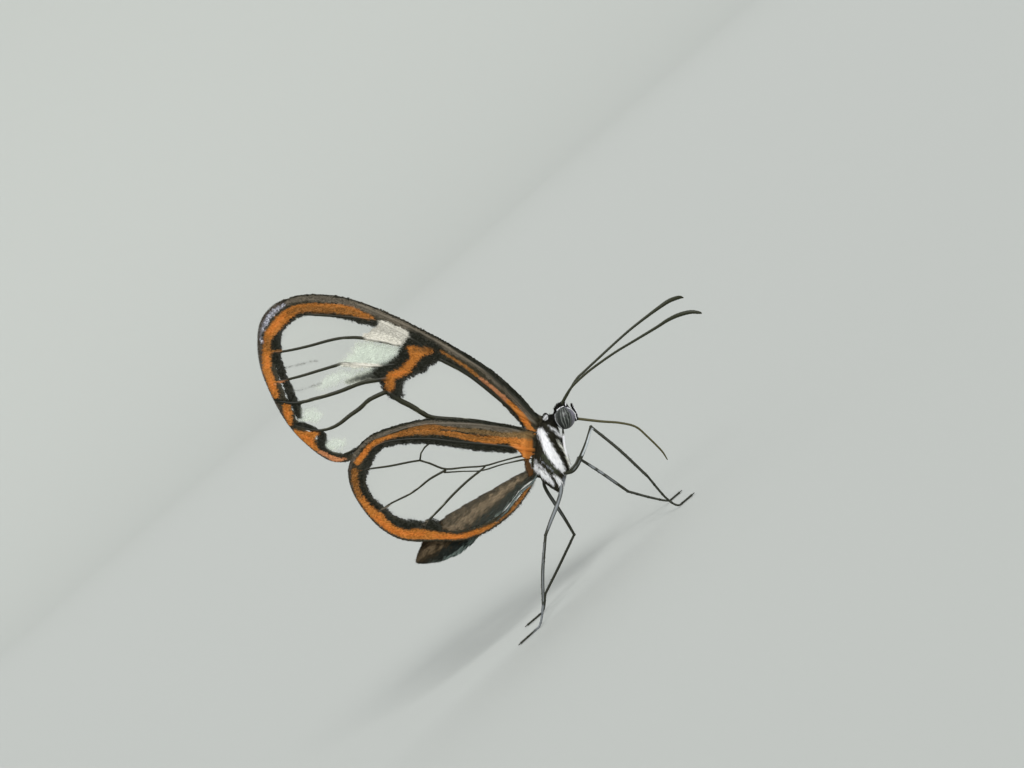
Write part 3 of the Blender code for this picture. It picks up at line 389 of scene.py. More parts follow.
HINDWING_MARKS = [
    ("stripe", UMBER, 1.0, 0.2, [
        (-0.8, 0.6, 0.7), (-2.4, 1.1, 0.9), (-5.2, 1.65, 1.1), (-9.2, 1.85, 1.35), (-12.2, 2.05, 1.15),
        (-15.2, 1.85, 0.85), (-17.4, 1.15, 0.8), (-18.7, 0.1, 0.85), (-19.3, -1.0, 0.8),
        (-19.45, -2.3, 0.75), (-19.35, -3.4, 0.75), (-19.0, -4.5, 0.75), (-18.2, -5.6, 0.8),
        (-17.2, -6.6, 0.9), (-15.9, -7.6, 1.0), (-14.2, -8.15, 0.85), (-12.4, -8.35, 0.7),
        (-10.6, -8.5, 0.55), (-8.8, -8.4, 0.48), (-7.3, -7.9, 0.38), (-5.6, -6.95, 0.27),
        (-4.0, -5.75, 0.2), (-2.8, -4.4, 0.05), (-1.9, -3.1, 0.04),
    ]),
    ("stripe", MOUSE, 1.0, 0.2, [
        (-3.2, 1.98, 0.1), (-4.4, 1.98, 0.25), (-7.2, 2.46, 0.25), (-10, 2.66, 0.23), (-12.1, 2.86, 0.18),
        (-14.2, 2.54, 0.15), (-15.6, 2.16, 0.15), (-17, 1.67, 0.15), (-18.4, 1.0, 0.18), (-19.4, 0, 0.2),
        (-19.85, -0.9, 0.18),
    ]),
    ("stripe", OLIVE_BROWN, 1.0, 0.25, [
        (-3.0, 1.6, 0.2), (-4.4, 1.5, 0.2), (-7.2, 1.9, 0.22), (-10, 2.15, 0.15),
    ]),
    ("stripe", BURNT_ORANGE, 1.0, 0.2, [
        (-9.5, 2.2, 0.1), (-10.5, 2.25, 0.15), (-12.1, 2.4, 0.24), (-13.6, 2.25, 0.15), (-14.8, 2.0, 0.08),
    ]),
    ("stripe", SOOT, 1.0, 0.12, [
        (-2.96, 2.12, 0.08), (-4.4, 2.47, 0.16), (-7.2, 2.86, 0.15), (-10, 3.07, 0.14), (-12.1, 3.14, 0.1),
        (-14.2, 2.8, 0.1), (-17, 2.0, 0.1), (-18.4, 1.42, 0.11), (-19.66, 0.1, 0.1),
    ]),
    ("stripe", SOOT, 1.0, 0.15, [(-20.1, -1.7, 0.22), (-20.2, -2.2, 0.12)]),
    ("stripe", SOOT, 1.0, 0.4, [
        (-3.8, 0.1, 0.3), (-5.06, 0.3, 0.38), (-7.2, 0.44, 0.4), (-8.6, 0.65, 0.43), (-10, 0.93, 0.46),
        (-11.4, 1.07, 0.44), (-12.8, 1.18, 0.41), (-14.2, 1.14, 0.38), (-15.6, 1.0, 0.36),
        (-16.7, 0.72, 0.33), (-17.6, 0.16, 0.34), (-18.1, -0.6, 0.35), (-18.5, -1.3, 0.33),
    ]),
    ("stripe", SOOT, 1.0, 0.6, [
        (-18.5, -1.3, 0.33), (-18.9, -2.3, 0.27), (-18.95, -3.3, 0.27), (-18.7, -4.1, 0.32),
        (-18.2, -4.9, 0.33), (-17.4, -5.6, 0.3), (-16.7, -6.2, 0.36), (-16, -6.9, 0.43), (-15, -7.4, 0.48),
        (-13.9, -7.4, 0.42), (-12.9, -7.5, 0.3), (-11.8, -7.4, 0.5), (-11.1, -8.0, 0.14), (-9.1, -8.3, 0.1),
        (-8.0, -7.95, 0.08),
    ]),
    ("stripe", ORANGE, 1.0, 0.18, [
        (-19.4, -1.1, 0.3), (-18.9, -0.5, 0.28), (-18.4, 0.2, 0.26), (-17.7, 0.8, 0.25), (-16.6, 1.3, 0.17),
        (-15.3, 1.63, 0.2), (-13.9, 1.86, 0.2), (-12.5, 1.95, 0.21), (-11.4, 1.85, 0.21), (-10, 1.7, 0.23),
        (-8.6, 1.42, 0.3), (-7.2, 1.2, 0.35), (-5.8, 1.07, 0.35), (-4.4, 1.05, 0.33), (-3.8, 0.85, 0.42),
    ]),
    ("stripe", BURNT_ORANGE, 1.0, 0.3, [
        (-15.8, 1.55, 0.1), (-13.9, 1.8, 0.16), (-11.4, 1.8, 0.16), (-8.6, 1.42, 0.16), (-6.4, 1.15, 0.18),
        (-5.0, 1.1, 0.15),
    ]),
    ("stripe", ORANGE, 1.0, 0.22, [
        (-19.45, -4.0, 0.33), (-18.95, -4.9, 0.33), (-18.25, -5.8, 0.45), (-17.4, -6.65, 0.55),
        (-16.6, -7.5, 0.55), (-15.6, -8.1, 0.55), (-14.5, -8.4, 0.5), (-13.2, -8.3, 0.52),
        (-11.9, -8.47, 0.45), (-10.5, -8.6, 0.4), (-9.1, -8.7, 0.32), (-8.15, -8.4, 0.37),
        (-7.2, -8.05, 0.3), (-6.05, -7.5, 0.2), (-5.06, -6.93, 0.12), (-4.1, -6.0, 0.08),
        (-3.1, -4.8, 0.05), (-2.26, -3.56, 0.03),
    ]),
    ("stripe", BURNT_ORANGE, 1.0, 0.25, [
        (-19.65, -2.0, 0.32), (-19.65, -3.0, 0.33), (-19.5, -3.9, 0.3), (-19.1, -4.6, 0.2),
    ]),
    ("stripe", BURNT_ORANGE, 1.0, 0.3, [
        (-6.4, -7.6, 0.08), (-5.1, -6.95, 0.12), (-4.1, -6.0, 0.1), (-2.3, -3.6, 0.05),
    ]),
    ("stripe", BRIGHT_ORANGE, 1.0, 0.35, [(-19.2, -0.8, 0.08), (-18.7, -0.1, 0.14), (-18.0, 0.6, 0.08)]),
    ("stripe", BRIGHT_ORANGE, 1.0, 0.35, [
        (-17.6, -6.5, 0.18), (-16.4, -7.6, 0.25), (-14.9, -8.2, 0.2), (-12.8, -8.3, 0.15),
    ]),
    ("stripe", BRIGHT_ORANGE, 1.0, 0.35, [
        (-11.8, -8.45, 0.12), (-10.2, -8.6, 0.18), (-8.8, -8.5, 0.15), (-7.5, -8.1, 0.08),
    ]),
    ("stripe", SOOT, 1.0, 0.08, [(-9.6, 1.95, 0.03), (-7.6, 1.55, 0.04), (-6.0, 1.4, 0.03)]),
    ("patch", ROOT_ORANGE, 1.0, 0.25, [
        (-4.2, 1.4), (-3.2, 1.6), (-2.4, 1.65), (-2.0, 1.2), (-1.95, 0.3), (-2.05, -0.5), (-2.5, -0.85),
        (-3.0, -0.4), (-3.5, 0.12), (-4.1, 0.7),
    ]),
    ("stripe", OLIVE_BROWN * 1.3, 1.0, 0.35, [
        (-5.2, 1.6, 0.18), (-4.2, 1.55, 0.25), (-3.0, 1.55, 0.32), (-2.2, 1.45, 0.4),
    ]),
    ("stripe", BRIGHT_ORANGE, 1.0, 0.45, [(-3.3, 0.45, 0.12), (-2.75, 0.05, 0.3), (-2.35, -0.35, 0.12)]),
    ("stripe", ORANGE * 1.15, 1.0, 0.2, [(-5.6, 1.15, 0.06), (-4.2, 1.0, 0.08), (-3.2, 0.75, 0.1)]),
    ("stripe", UMBER, 1.0, 0.25, [
        (-1.75, 1.6, 0.25), (-1.65, 0.5, 0.3), (-1.7, -0.6, 0.25), (-1.8, -1.5, 0.2),
    ]),
    ("stripe", BURNT_ORANGE * 0.4, 1.0, 0.2, [(-2.55, -1.0, 0.2), (-2.4, -1.5, 0.25), (-2.15, -2.3, 0.25)]),
    ("stripe", RIM, 1.0, 0.18, [
        (-19.8, -0.6, 0.08), (-20.2, -2.0, 0.14), (-19.85, -4.0, 0.13), (-18.65, -6.05, 0.13),
        (-16.85, -7.8, 0.14), (-14.7, -8.82, 0.12), (-11.7, -8.92, 0.09), (-8.8, -8.8, 0.08),
        (-6.3, -7.85, 0.07), (-4.0, -6.1, 0.05),
    ]),
    ("stripe", MOUSE * 1.3, 1.0, 0.08, [(-17.1, -5.9, 0.05), (-16.15, -5.4, 0.04)]),
    ("stripe", MOUSE * 1.3, 1.0, 0.08, [(-13.1, -7.7, 0.05), (-12.4, -6.95, 0.04)]),
    ("stripe", BLUE_GREY * 0.5, 1.0, 0.12, [
        (-1.5, -2.4, 0.03), (-1.98, -3.28, 0.03), (-3.24, -4.26, 0.025), (-4.5, -5.94, 0.02),
        (-5.6, -7.1, 0.01),
    ]),
    ("stripe", UMBER, 1.0, 0.12, [
        (-20.35, -2.0, 0.06), (-19.9, -4.1, 0.09), (-18.5, -6.3, 0.11), (-16.75, -8.0, 0.13),
        (-14.6, -8.93, 0.14), (-11.6, -8.98, 0.12), (-8.7, -8.88, 0.12), (-6.15, -7.84, 0.1),
        (-3.8, -6.0, 0.08), (-2.2, -3.9, 0.06),
    ]),
]
CURVE_POINTS = 24
PATCH_STEPS = 160
MARK_STEP = 0.35
RAGGED_EDGE = 0.035
OUTLINE_STEPS = 4000


def even_line(points, count, closed=False):
    """Points at even steps along a smooth curve through the given ones."""
    given = np.array(points, float)
    if closed:
        ring = np.vstack([given[-1:], given, given[:2]])
    else:
        ring = np.vstack([2 * given[:1] - given[1:2], given, 2 * given[-1:] - given[-2:-1]])
    t = np.linspace(0.0, 1.0, CURVE_POINTS, endpoint=False)[:, None]
    fine = [
        start
        + t * (end - before) / 2
        + t**2 * (before - 2.5 * start + 2 * end - after / 2)
        + t**3 * (3 * (start - end) + after - before) / 2
        for before, start, end, after in zip(ring, ring[1:], ring[2:], ring[3:])
    ]
    fine = np.vstack(fine + [ring[-2:-1]])
    run = np.r_[0.0, np.cumsum(np.linalg.norm(np.diff(fine, axis=0), axis=1))]
    even = np.linspace(0.0, run[-1], count)
    return np.column_stack([np.interp(even, run, column) for column in fine.T])


def unit(rows):
    """Directions made one long."""
    return rows / np.maximum(np.linalg.norm(rows, axis=1)[:, None], 1e-9)


def length_of(points):
    """Length of a row of points, straight from one to the next."""
    return np.linalg.norm(np.diff(points, axis=0), axis=1).sum()


def reach_in_stripe(spots, line):
    """How far each spot lies inside a stripe of changing half width; negative outside it."""
    best = np.full(len(spots), -99.0)
    for start, end in zip(line, line[1:]):
        run = end[:2] - start[:2]
        share = np.clip((spots - start[:2]) @ run / max(run @ run, 1e-9), 0.0, 1.0)
        away = np.linalg.norm(spots - start[:2] - share[:, None] * run, axis=1)
        best = np.maximum(best, start[2] + share * (end[2] - start[2]) - away)
    return best


def reach_in_patch(spots, outline):
    """How far each spot lies inside a closed outline; negative outside it."""
    edge = even_line(outline, PATCH_STEPS, closed=True)
    away = -reach_in_stripe(spots, np.column_stack([edge, np.zeros(len(edge))]))
    inside = np.zeros(len(spots), bool)
    for (x0, z0), (x1, z1) in zip(edge, edge[1:]):
        if z0 != z1:
            crosses = (z0 > spots[:, 1]) != (z1 > spots[:, 1])
            inside ^= crosses & (spots[:, 0] < x0 + (x1 - x0) * (spots[:, 1] - z0) / (z1 - z0))
    return np.where(inside, away, -away)


def ripple(points, wavelength, seed):
    """Smooth uneven values about -1 to 1 over points, from crossing waves."""
    draw = np.random.default_rng(seed)
    waves = draw.normal(0.0, 2 * math.pi / wavelength, (14, points.shape[1]))
    starts = draw.uniform(0.0, 2 * math.pi, 14)
    return np.sin(points @ waves.T + starts).sum(axis=1) / 3.7


def painted(spots, marks, veins):
    """Colour and cover of the wing at each spot, with ragged edges where scales thin out."""
    colour = np.tile(CLEAR, (len(spots), 1))
    cover = np.zeros(len(spots))
    jitter = RAGGED_EDGE * (ripple(spots, 0.6, 3) + ripple(spots, 0.2, 4))
    vein_marks = [("stripe", VEIN_HORN, 1.0, 0.1, vein) for vein in veins]
    for shape, tone, strength, soft, points in vein_marks + marks:
        if shape == "patch":
            reach = reach_in_patch(spots, points)
        else:
            steps = max(3, int(length_of(np.array(points)[:, :2]) / MARK_STEP))
            reach = reach_in_stripe(spots, even_line(points, steps))
        share = np.clip(0.5 + (reach + jitter * (soft + 0.2) / 0.4) / soft, 0.0, 1.0)
        share = share * share * (3 - 2 * share)
        if strength < 1.0:
            hidden = cover * (1 - share) + strength * share
            colour += (share * (1 - cover))[:, None] * (tone - colour)
            cover = np.maximum(cover, hidden)
        else:
            pull = share / np.maximum(share + cover * (1 - share), 1e-6)
            colour += pull[:, None] * (tone - colour)
            cover = cover + strength * share * (1 - cover)
    return colour, cover


def wing_grid(outline, corners, along, across):
    """Even net of points over a wing, between its root, front, outer and rear edges."""
    ring = np.array(outline, float)
    whole = even_line(ring, OUTLINE_STEPS, closed=True)

    def edge(first, last, count):
        """Stretch of the outline between two of its points, in even steps."""
        begin = np.linalg.norm(whole - ring[first], axis=1).argmin()
        end = np.linalg.norm(whole - ring[last], axis=1).argmin()
        if end > begin:
            stretch = whole[begin:end + 1]
        else:
            stretch = np.vstack([whole[begin:], whole[1:end + 1]])
        return even_line(stretch[:: max(1, len(stretch) // 200)], count)

    front_root, apex, tornus, rear_root = corners
    front = edge(front_root, apex, along + 1)
    outer = edge(apex, tornus, across + 1)[::-1]
    rear = edge(tornus, rear_root, along + 1)[::-1]
    root = edge(rear_root, front_root, across + 1)
    u = np.linspace(0.0, 1.0, along + 1)[:, None, None]
    v = np.linspace(0.0, 1.0, across + 1)[None, :, None]
    flat = (1 - v) * rear[:, None] + v * front[:, None] + (1 - u) * root[None] + u * outer[None]
    flat -= (1 - u) * ((1 - v) * root[0] + v * root[-1]) + u * ((1 - v) * outer[0] + v * outer[-1])
    return flat


def as_mesh(bm, name):
    """Mesh of a finished shape."""
    mesh = bpy.data.meshes.new(name)
    bm.to_mesh(mesh)
    bm.free()
    return mesh


def put(name, mesh, finish):
    """Object of a mesh in the insect's own millimetres, tipped into place."""
    mesh.name = name
    mesh.transform(TIP)
    mesh.materials.clear()
    mesh.materials.append(finish)
    mesh.shade_smooth()
    part = bpy.data.objects.new(name, mesh)
    bpy.context.scene.collection.objects.link(part)
    return part


def stain(mesh, colour, cover=None):
    """Stores a colour for each point of a mesh, and with it how far scales cover it."""
    if cover is None:
        cover = np.ones(len(colour))
    marks = mesh.color_attributes.new("marks", "FLOAT_COLOR", "POINT")
    marks.data.foreach_set("color", np.column_stack([colour, cover]).astype(np.float32).ravel())


def new_finish(name, roughness, specular):
    """Material with its shader, its node tree and the stored marks to colour it."""
    finish = bpy.data.materials.new(name)
    finish.use_nodes = True
    tree = finish.node_tree
    shader = tree.nodes["Principled BSDF"]
    shader.inputs["Roughness"].default_value = roughness
    shader.inputs["Specular IOR Level"].default_value = specular
    marks = tree.nodes.new("ShaderNodeVertexColor")
    marks.layer_name = "marks"
    place = tree.nodes.new("ShaderNodeTexCoord")
    return finish, tree, shader, marks, place.outputs["Object"]


def math_node(tree, operation, first, second, third=None):
    """One arithmetic step of a material, from sockets or numbers."""
    node = tree.nodes.new("ShaderNodeMath")
    node.operation = operation
    for socket, value in zip(node.inputs, (first, second, third)):
        if isinstance(value, bpy.types.NodeSocket):
            tree.links.new(value, socket)
        elif value is not None:
            socket.default_value = value
    return node.outputs[0]


def tint_by(tree, colour, strength):
    """A colour made lighter and darker by a value."""
    node = tree.nodes.new("ShaderNodeVectorMath")
    node.operation = "SCALE"
    tree.links.new(colour, node.inputs[0])
    tree.links.new(strength, node.inputs["Scale"])
    return node.outputs[0]


def bump_by(tree, shader, height, strength, distance):
    """Fine relief of a material, its distance in millimetres."""
    relief = tree.nodes.new("ShaderNodeBump")
    relief.inputs["Strength"].default_value = strength
    relief.inputs["Distance"].default_value = distance * MM
    tree.links.new(height, relief.inputs["Height"])
    tree.links.new(relief.outputs["Normal"], shader.inputs["Normal"])
    return relief


# Light passes all the clear sheets and hairs that can lie behind each other.
CLEAR_LAYERS = 32
bpy.context.scene.cycles.transparent_max_bounces = CLEAR_LAYERS
CLEAR_ALPHA = 0.02
SCALE_LENGTH = 0.16
SCALE_WIDTH = 0.07
SCALE_LEAN = 0.35
TORN_EDGE = 0.16
BARE_COVER = 0.12
FULL_COVER = 0.8
wing_finish, tree, shader, marks, place = new_finish("wing_membrane", 0.3, 0.3)
lie = tree.nodes.new("ShaderNodeMapping")
lie.vector_type = "POINT"
lie.inputs["Rotation"].default_value = (0.0, -PITCH - SCALE_LEAN, 0.0)
lie.inputs["Scale"].default_value = (1 / SCALE_LENGTH / MM, 1 / SCALE_LENGTH / MM, 1 / SCALE_WIDTH / MM)
tree.links.new(place, lie.inputs["Vector"])
scales = tree.nodes.new("ShaderNodeTexVoronoi")
scales.inputs["Scale"].default_value = 1.0
tree.links.new(lie.outputs["Vector"], scales.inputs["Vector"])
single = tree.nodes.new("ShaderNodeSeparateColor")
tree.links.new(scales.outputs["Color"], single.inputs["Color"])
torn = math_node(tree, "MULTIPLY_ADD", single.outputs["Red"], TORN_EDGE, -TORN_EDGE / 2)
torn = math_node(tree, "ADD", marks.outputs["Alpha"], torn)
edge_share = tree.nodes.new("ShaderNodeMapRange")
edge_share.inputs["From Min"].default_value = BARE_COVER
edge_share.inputs["From Max"].default_value = FULL_COVER
edge_share.inputs["To Min"].default_value = CLEAR_ALPHA
tree.links.new(torn, edge_share.inputs["Value"])
tree.links.new(edge_share.outputs["Result"], shader.inputs["Alpha"])
shade = math_node(tree, "MULTIPLY_ADD", single.outputs["Green"], 0.3, 0.85)
tree.links.new(tint_by(tree, marks.outputs["Color"], shade), shader.inputs["Base Color"])
dull = math_node(tree, "MULTIPLY_ADD", marks.outputs["Alpha"], 0.5, 0.22)
tree.links.new(dull, shader.inputs["Roughness"])
height = math_node(tree, "MULTIPLY", scales.outputs["Distance"], marks.outputs["Alpha"])
bump_by(tree, shader, height, 0.5, 0.02)

# A wing's corners are the points of its outline at the root's front, the tip, the rear
# corner and the root's rear. Its net is the number of steps along and across it. It is
# fringed between two points of its outline. Its distance from the middle plane is given at
# root and tip, and how much lower the left wing hangs.
SIDES = (("left", 1), ("right", -1))
MEMBRANE = 0.04
HINGE_START = 2.9
HINGE_LENGTH = 1.2
HINGE_Y = 0.45
WING_REACH = 28.0
DROP_REACH = 4.0
PLEAT_DEPTH = 0.05
PLEAT_LENGTH = 6.0
WINGS = {
    "forewing": {
        "outline": FOREWING_OUTLINE, "corners": (0, 11, 18, 26), "net": (270, 124),
        "marks": FOREWING_MARKS, "veins": FOREWING_VEINS, "fringed": (11, 19),
        "root_y": 0.58, "tip_y": 0.42, "left_drop": 0.06,
    },
    "hindwing": {
        "outline": HINDWING_OUTLINE, "corners": (0, 7, 12, 19), "net": (190, 120),
        "marks": HINDWING_MARKS, "veins": HINDWING_VEINS, "fringed": (7, 18),
        "root_y": 1.45, "tip_y": 1.4, "left_drop": 0.19,
    },
}


def wing_height(wing, spots):
    """Distance of the sheet from the insect's middle plane, with its shallow pleats."""
    share = np.clip(-spots[:, 0] / WING_REACH, 0.0, 1.0)
    level_y = wing["root_y"] + (wing["tip_y"] - wing["root_y"]) * share
    dive = np.clip((spots[:, 0] + HINGE_START) / HINGE_LENGTH, 0.0, 1.0)
    dive = dive * dive * (3 - 2 * dive) * (level_y - HINGE_Y)
    return level_y + PLEAT_DEPTH * ripple(spots, PLEAT_LENGTH, 11) - dive


def wing_drop(wing, sign, spots):
    """How much lower spots lie on the left wing (1) than on the right (-1)."""
    return wing["left_drop"] * np.clip(-spots[:, 0] / DROP_REACH, 0.0, 1.0) * (sign > 0)


def wing_spots(wing, sign, spots):
    """Places in space of spots on the left (1) or right (-1) wing."""
    low = spots[:, 1] - wing_drop(wing, sign, spots)
    return np.column_stack([spots[:, 0], sign * wing_height(wing, spots), low])


for wing_name, wing in WINGS.items():
    net = wing_grid(wing["outline"], wing["corners"], *wing["net"])
    flat = net.reshape(-1, 2)
    colour, cover = painted(flat, wing["marks"], [])
    wing["grid"], wing["colour"], wing["cover"] = net, colour, cover
    for side, sign in SIDES:
        bm = bmesh.new()
        bmesh.ops.create_grid(bm, x_segments=wing["net"][1], y_segments=wing["net"][0], size=1.0)
        sheet = as_mesh(bm, "sheet")
        spots = wing_spots(wing, sign, flat)
        sheet.vertices.foreach_set("co", spots.astype(np.float32).ravel())
        if sign < 0:
            sheet.flip_normals()
        stain(sheet, colour, cover)
        part = put(f"{wing_name}_{side}_membrane", sheet, wing_finish)
        wall = part.modifiers.new("thickness", "SOLIDIFY")
        wall.thickness = MEMBRANE * MM
        wall.offset = 0.0
        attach(part, "root")
        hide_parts(f"{wing_name}_{side}")

# Wing veins
# Stiff hollow tubes of dark horn that carry the membrane, thick at the root and fine at the
# margin, one with the sheet on both of its faces. Scales colour them as the band they cross.
VEIN_SIDES = 8
VEIN_STEP = 0.45
VEIN_FULLNESS = 1.1
VEIN_FLATNESS = 0.55


def grained_finish(name, roughness, specular, grain_size, contrast, darkest, bump=None, detail=2.0):
    """Material in the stored colours, mottled by a fine grain, with relief if that is given."""
    finish, tree, shader, marks, place = new_finish(name, roughness, specular)
    grain = tree.nodes.new("ShaderNodeTexNoise")
    grain.inputs["Scale"].default_value = 1 / (grain_size * MM)
    grain.inputs["Detail"].default_value = detail
    tree.links.new(place, grain.inputs["Vector"])
    shade = math_node(tree, "MULTIPLY_ADD", grain.outputs["Fac"], contrast, darkest)
    tree.links.new(tint_by(tree, marks.outputs["Color"], shade), shader.inputs["Base Color"])
    if bump:
        bump_by(tree, shader, grain.outputs["Fac"], *bump)
    return finish


vein_finish = grained_finish("wing_veins", 0.5, 0.25, 0.12, 0.7, 0.6)


def hoop(bm, centre, along, deep, half_depth, half_width, sides):
    """Edges of one oval hoop square to a direction."""
    wide = along.cross(deep).normalized()
    place = Matrix((deep * half_depth, wide * half_width, along)).transposed().to_4x4()
    place.translation = centre
    circle = bmesh.ops.create_circle(bm, segments=sides, radius=1.0, matrix=place)
    return list({edge for vert in circle["verts"] for edge in vert.link_edges})


def join_hoops(bm, hoops):
    """Walls from hoop to hoop, and a lid at either end."""
    for first, second in zip(hoops, hoops[1:]):
        bmesh.ops.bridge_loops(bm, edges=first + second)
    for end in (hoops[0], hoops[-1]):
        bmesh.ops.contextual_create(bm, geom=end)


def tube(bm, line, sides, flatness=1.0, deep=(0.0, 1.0, 0.0)):
    """Round tapered form along points of x, y, z and radius, closed at both ends."""
    hoops = []
    deep = Vector(deep)
    for i, point in enumerate(line):
        after, before = line[min(i + 1, len(line) - 1)], line[max(i - 1, 0)]
        along = Vector(after[:3] - before[:3]).normalized()
        deep = (deep - along * deep.dot(along)).normalized()
        hoops.append(hoop(bm, Vector(point[:3]), along, deep, point[3] * flatness, point[3], sides))
    join_hoops(bm, hoops)


def vertex_places(mesh):
    """All points of a mesh as one array."""
    spots = np.zeros(len(mesh.vertices) * 3)
    mesh.vertices.foreach_get("co", spots)
    return spots.reshape(-1, 3)


def closed_mesh(bm, name):
    """Mesh of a closed shape, with its faces turned outwards."""
    bmesh.ops.recalc_face_normals(bm, faces=bm.faces)
    return as_mesh(bm, name)


for wing_name, wing in WINGS.items():
    for side, sign in SIDES:
        bm = bmesh.new()
        for vein in wing["veins"]:
            line = even_line(vein, max(3, int(length_of(np.array(vein)[:, :2]) / VEIN_STEP)))
            route = np.column_stack([wing_spots(wing, sign, line[:, :2]), line[:, 2] * VEIN_FULLNESS])
            tube(bm, route, VEIN_SIDES, flatness=VEIN_FLATNESS)
        mesh = closed_mesh(bm, "veins")
        spots = vertex_places(mesh)[:, [0, 2]]
        spots[:, 1] += wing_drop(wing, sign, spots)
        stain(mesh, painted(spots, wing["marks"], wing["veins"])[0])
        part = put(f"{wing_name}_{side}_veins", mesh, vein_finish)
        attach(part, "root")

# Wing scales and fringe
# Flat overlapping scales, rooted in rows and pointing away from the thorax, lie over the
# coloured bands of each wing's outer face, and fine hair scales fringe its outer margin.
SCALE_DENSITY = 85.0
SCALED_COVER = 0.78
SCALE_REACH = 0.2
SCALE_TURN = 0.16
ODD_SCALES = 0.03
MARGIN_STEPS = 3000
FRINGE_STEP = 0.035
FRINGE_ROOT = 0.07
INNER_MARGIN = -9.0
INNER_HAIRS = 0.4
INNER_HAIR_STRETCH = 2.2
PATCH_ON_MAP = 0.003
coat_finish = grained_finish("scales_and_hair", 0.68, 0.15, 0.06, 0.5, 0.75)


def plate_shape():
    """One flat scale along x with its root at zero, as a low five-sided cone."""
    bm = bmesh.new()
    bmesh.ops.create_cone(
        bm, cap_ends=True, cap_tris=True, segments=5, radius1=1.0, radius2=0.0, depth=0.3
    )
    bmesh.ops.transform(bm, matrix=Matrix.Diagonal((0.5, 0.5, 1.0, 1.0)), verts=bm.verts)
    bmesh.ops.translate(bm, vec=(0.45, 0.0, 0.0), verts=bm.verts)
    return bm


def hair_shape(bend):
    """One thin tapered lock along x with its root at zero, bent down towards its tip."""
    bm = bmesh.new()
    bmesh.ops.create_cone(
        bm, cap_ends=True, cap_tris=False, segments=3, radius1=0.5, radius2=0.0, depth=1.0,
        matrix=Matrix.Translation((0.5, 0.0, 0.0)) @ Matrix.Rotation(math.pi / 2, 4, "Y"),
    )
    bmesh.ops.bisect_plane(
        bm, geom=bm.verts[:] + bm.edges[:] + bm.faces[:], plane_co=(0.5, 0, 0), plane_no=(1, 0, 0)
    )
    for vert in bm.verts:
        if 0.4 < vert.co.x < 0.6:
            vert.co.y *= 1.5
            vert.co.z *= 1.5
        vert.co.z += bend * vert.co.x * (1 - vert.co.x)
    bmesh.ops.triangulate(bm, faces=bm.faces)
    return bm


def square_to(axis, rows):
    """Directions turned square to other ones."""
    return unit(rows - axis * (rows * axis).sum(axis=1)[:, None])


def drawn_sizes(draw, count, lengths, widths, thickness):
    """Length, width and thickness of each of many scales or hairs."""
    return np.column_stack(
        [draw.uniform(*lengths, count), draw.uniform(*widths, count), np.full(count, thickness)]
    )


def spread(name, shape, roots, along, out, sizes, tones, unwrap):
    """One mesh of many copies of a small shape, each lying along its own direction.

    Sizes are length, width and thickness. Every copy has its own small patch of the map,
    at its root's place on the unwrapped skin."""
    bmesh.ops.recalc_face_normals(shape, faces=shape.faces)
    shape.verts.index_update()
    form = np.array([vert.co for vert in shape.verts])
    faces = np.array([[vert.index for vert in face.verts] for face in shape.faces])
    shape.free()
    out = square_to(along, out)
    frames = np.stack([along, np.cross(out, along), out], axis=1)
    scaled = form[None] * sizes[:, None, :]
    spots = roots[:, None] + np.einsum("nvk,nkc->nvc", scaled, frames)
    count, size = len(roots), len(form)
    corner = (np.arange(count)[:, None, None] * size + faces[None]).reshape(-1)
    mesh = bpy.data.meshes.new(name)
    mesh.vertices.add(count * size)
    mesh.vertices.foreach_set("co", spots.astype(np.float32).ravel())
    mesh.loops.add(len(corner))
    mesh.loops.foreach_set("vertex_index", corner.astype(np.int32))
    mesh.polygons.add(len(corner) // 3)
    mesh.polygons.foreach_set("loop_start", np.arange(0, len(corner), 3, dtype=np.int32))
    mesh.update(calc_edges=True)
    # Each copy is painted darker towards its root: painted shade where it lies under its neighbours.
    shade = 0.86 + 0.14 * np.clip(form[:, 0], 0.0, 1.0)
    stain(mesh, (tones[:, None] * shade[None, :, None]).reshape(-1, 3))
    reach = form[:, :2] - form[:, :2].mean(axis=0)
    reach = reach / (np.abs(reach).max() * 2)
    patch = unwrap[:, None] + reach[None] * PATCH_ON_MAP
    layer = mesh.uv_layers.new(name="OFBake")
    layer.data.foreach_set("uv", patch.reshape(-1, 2)[corner].astype(np.float32).ravel())
    return mesh


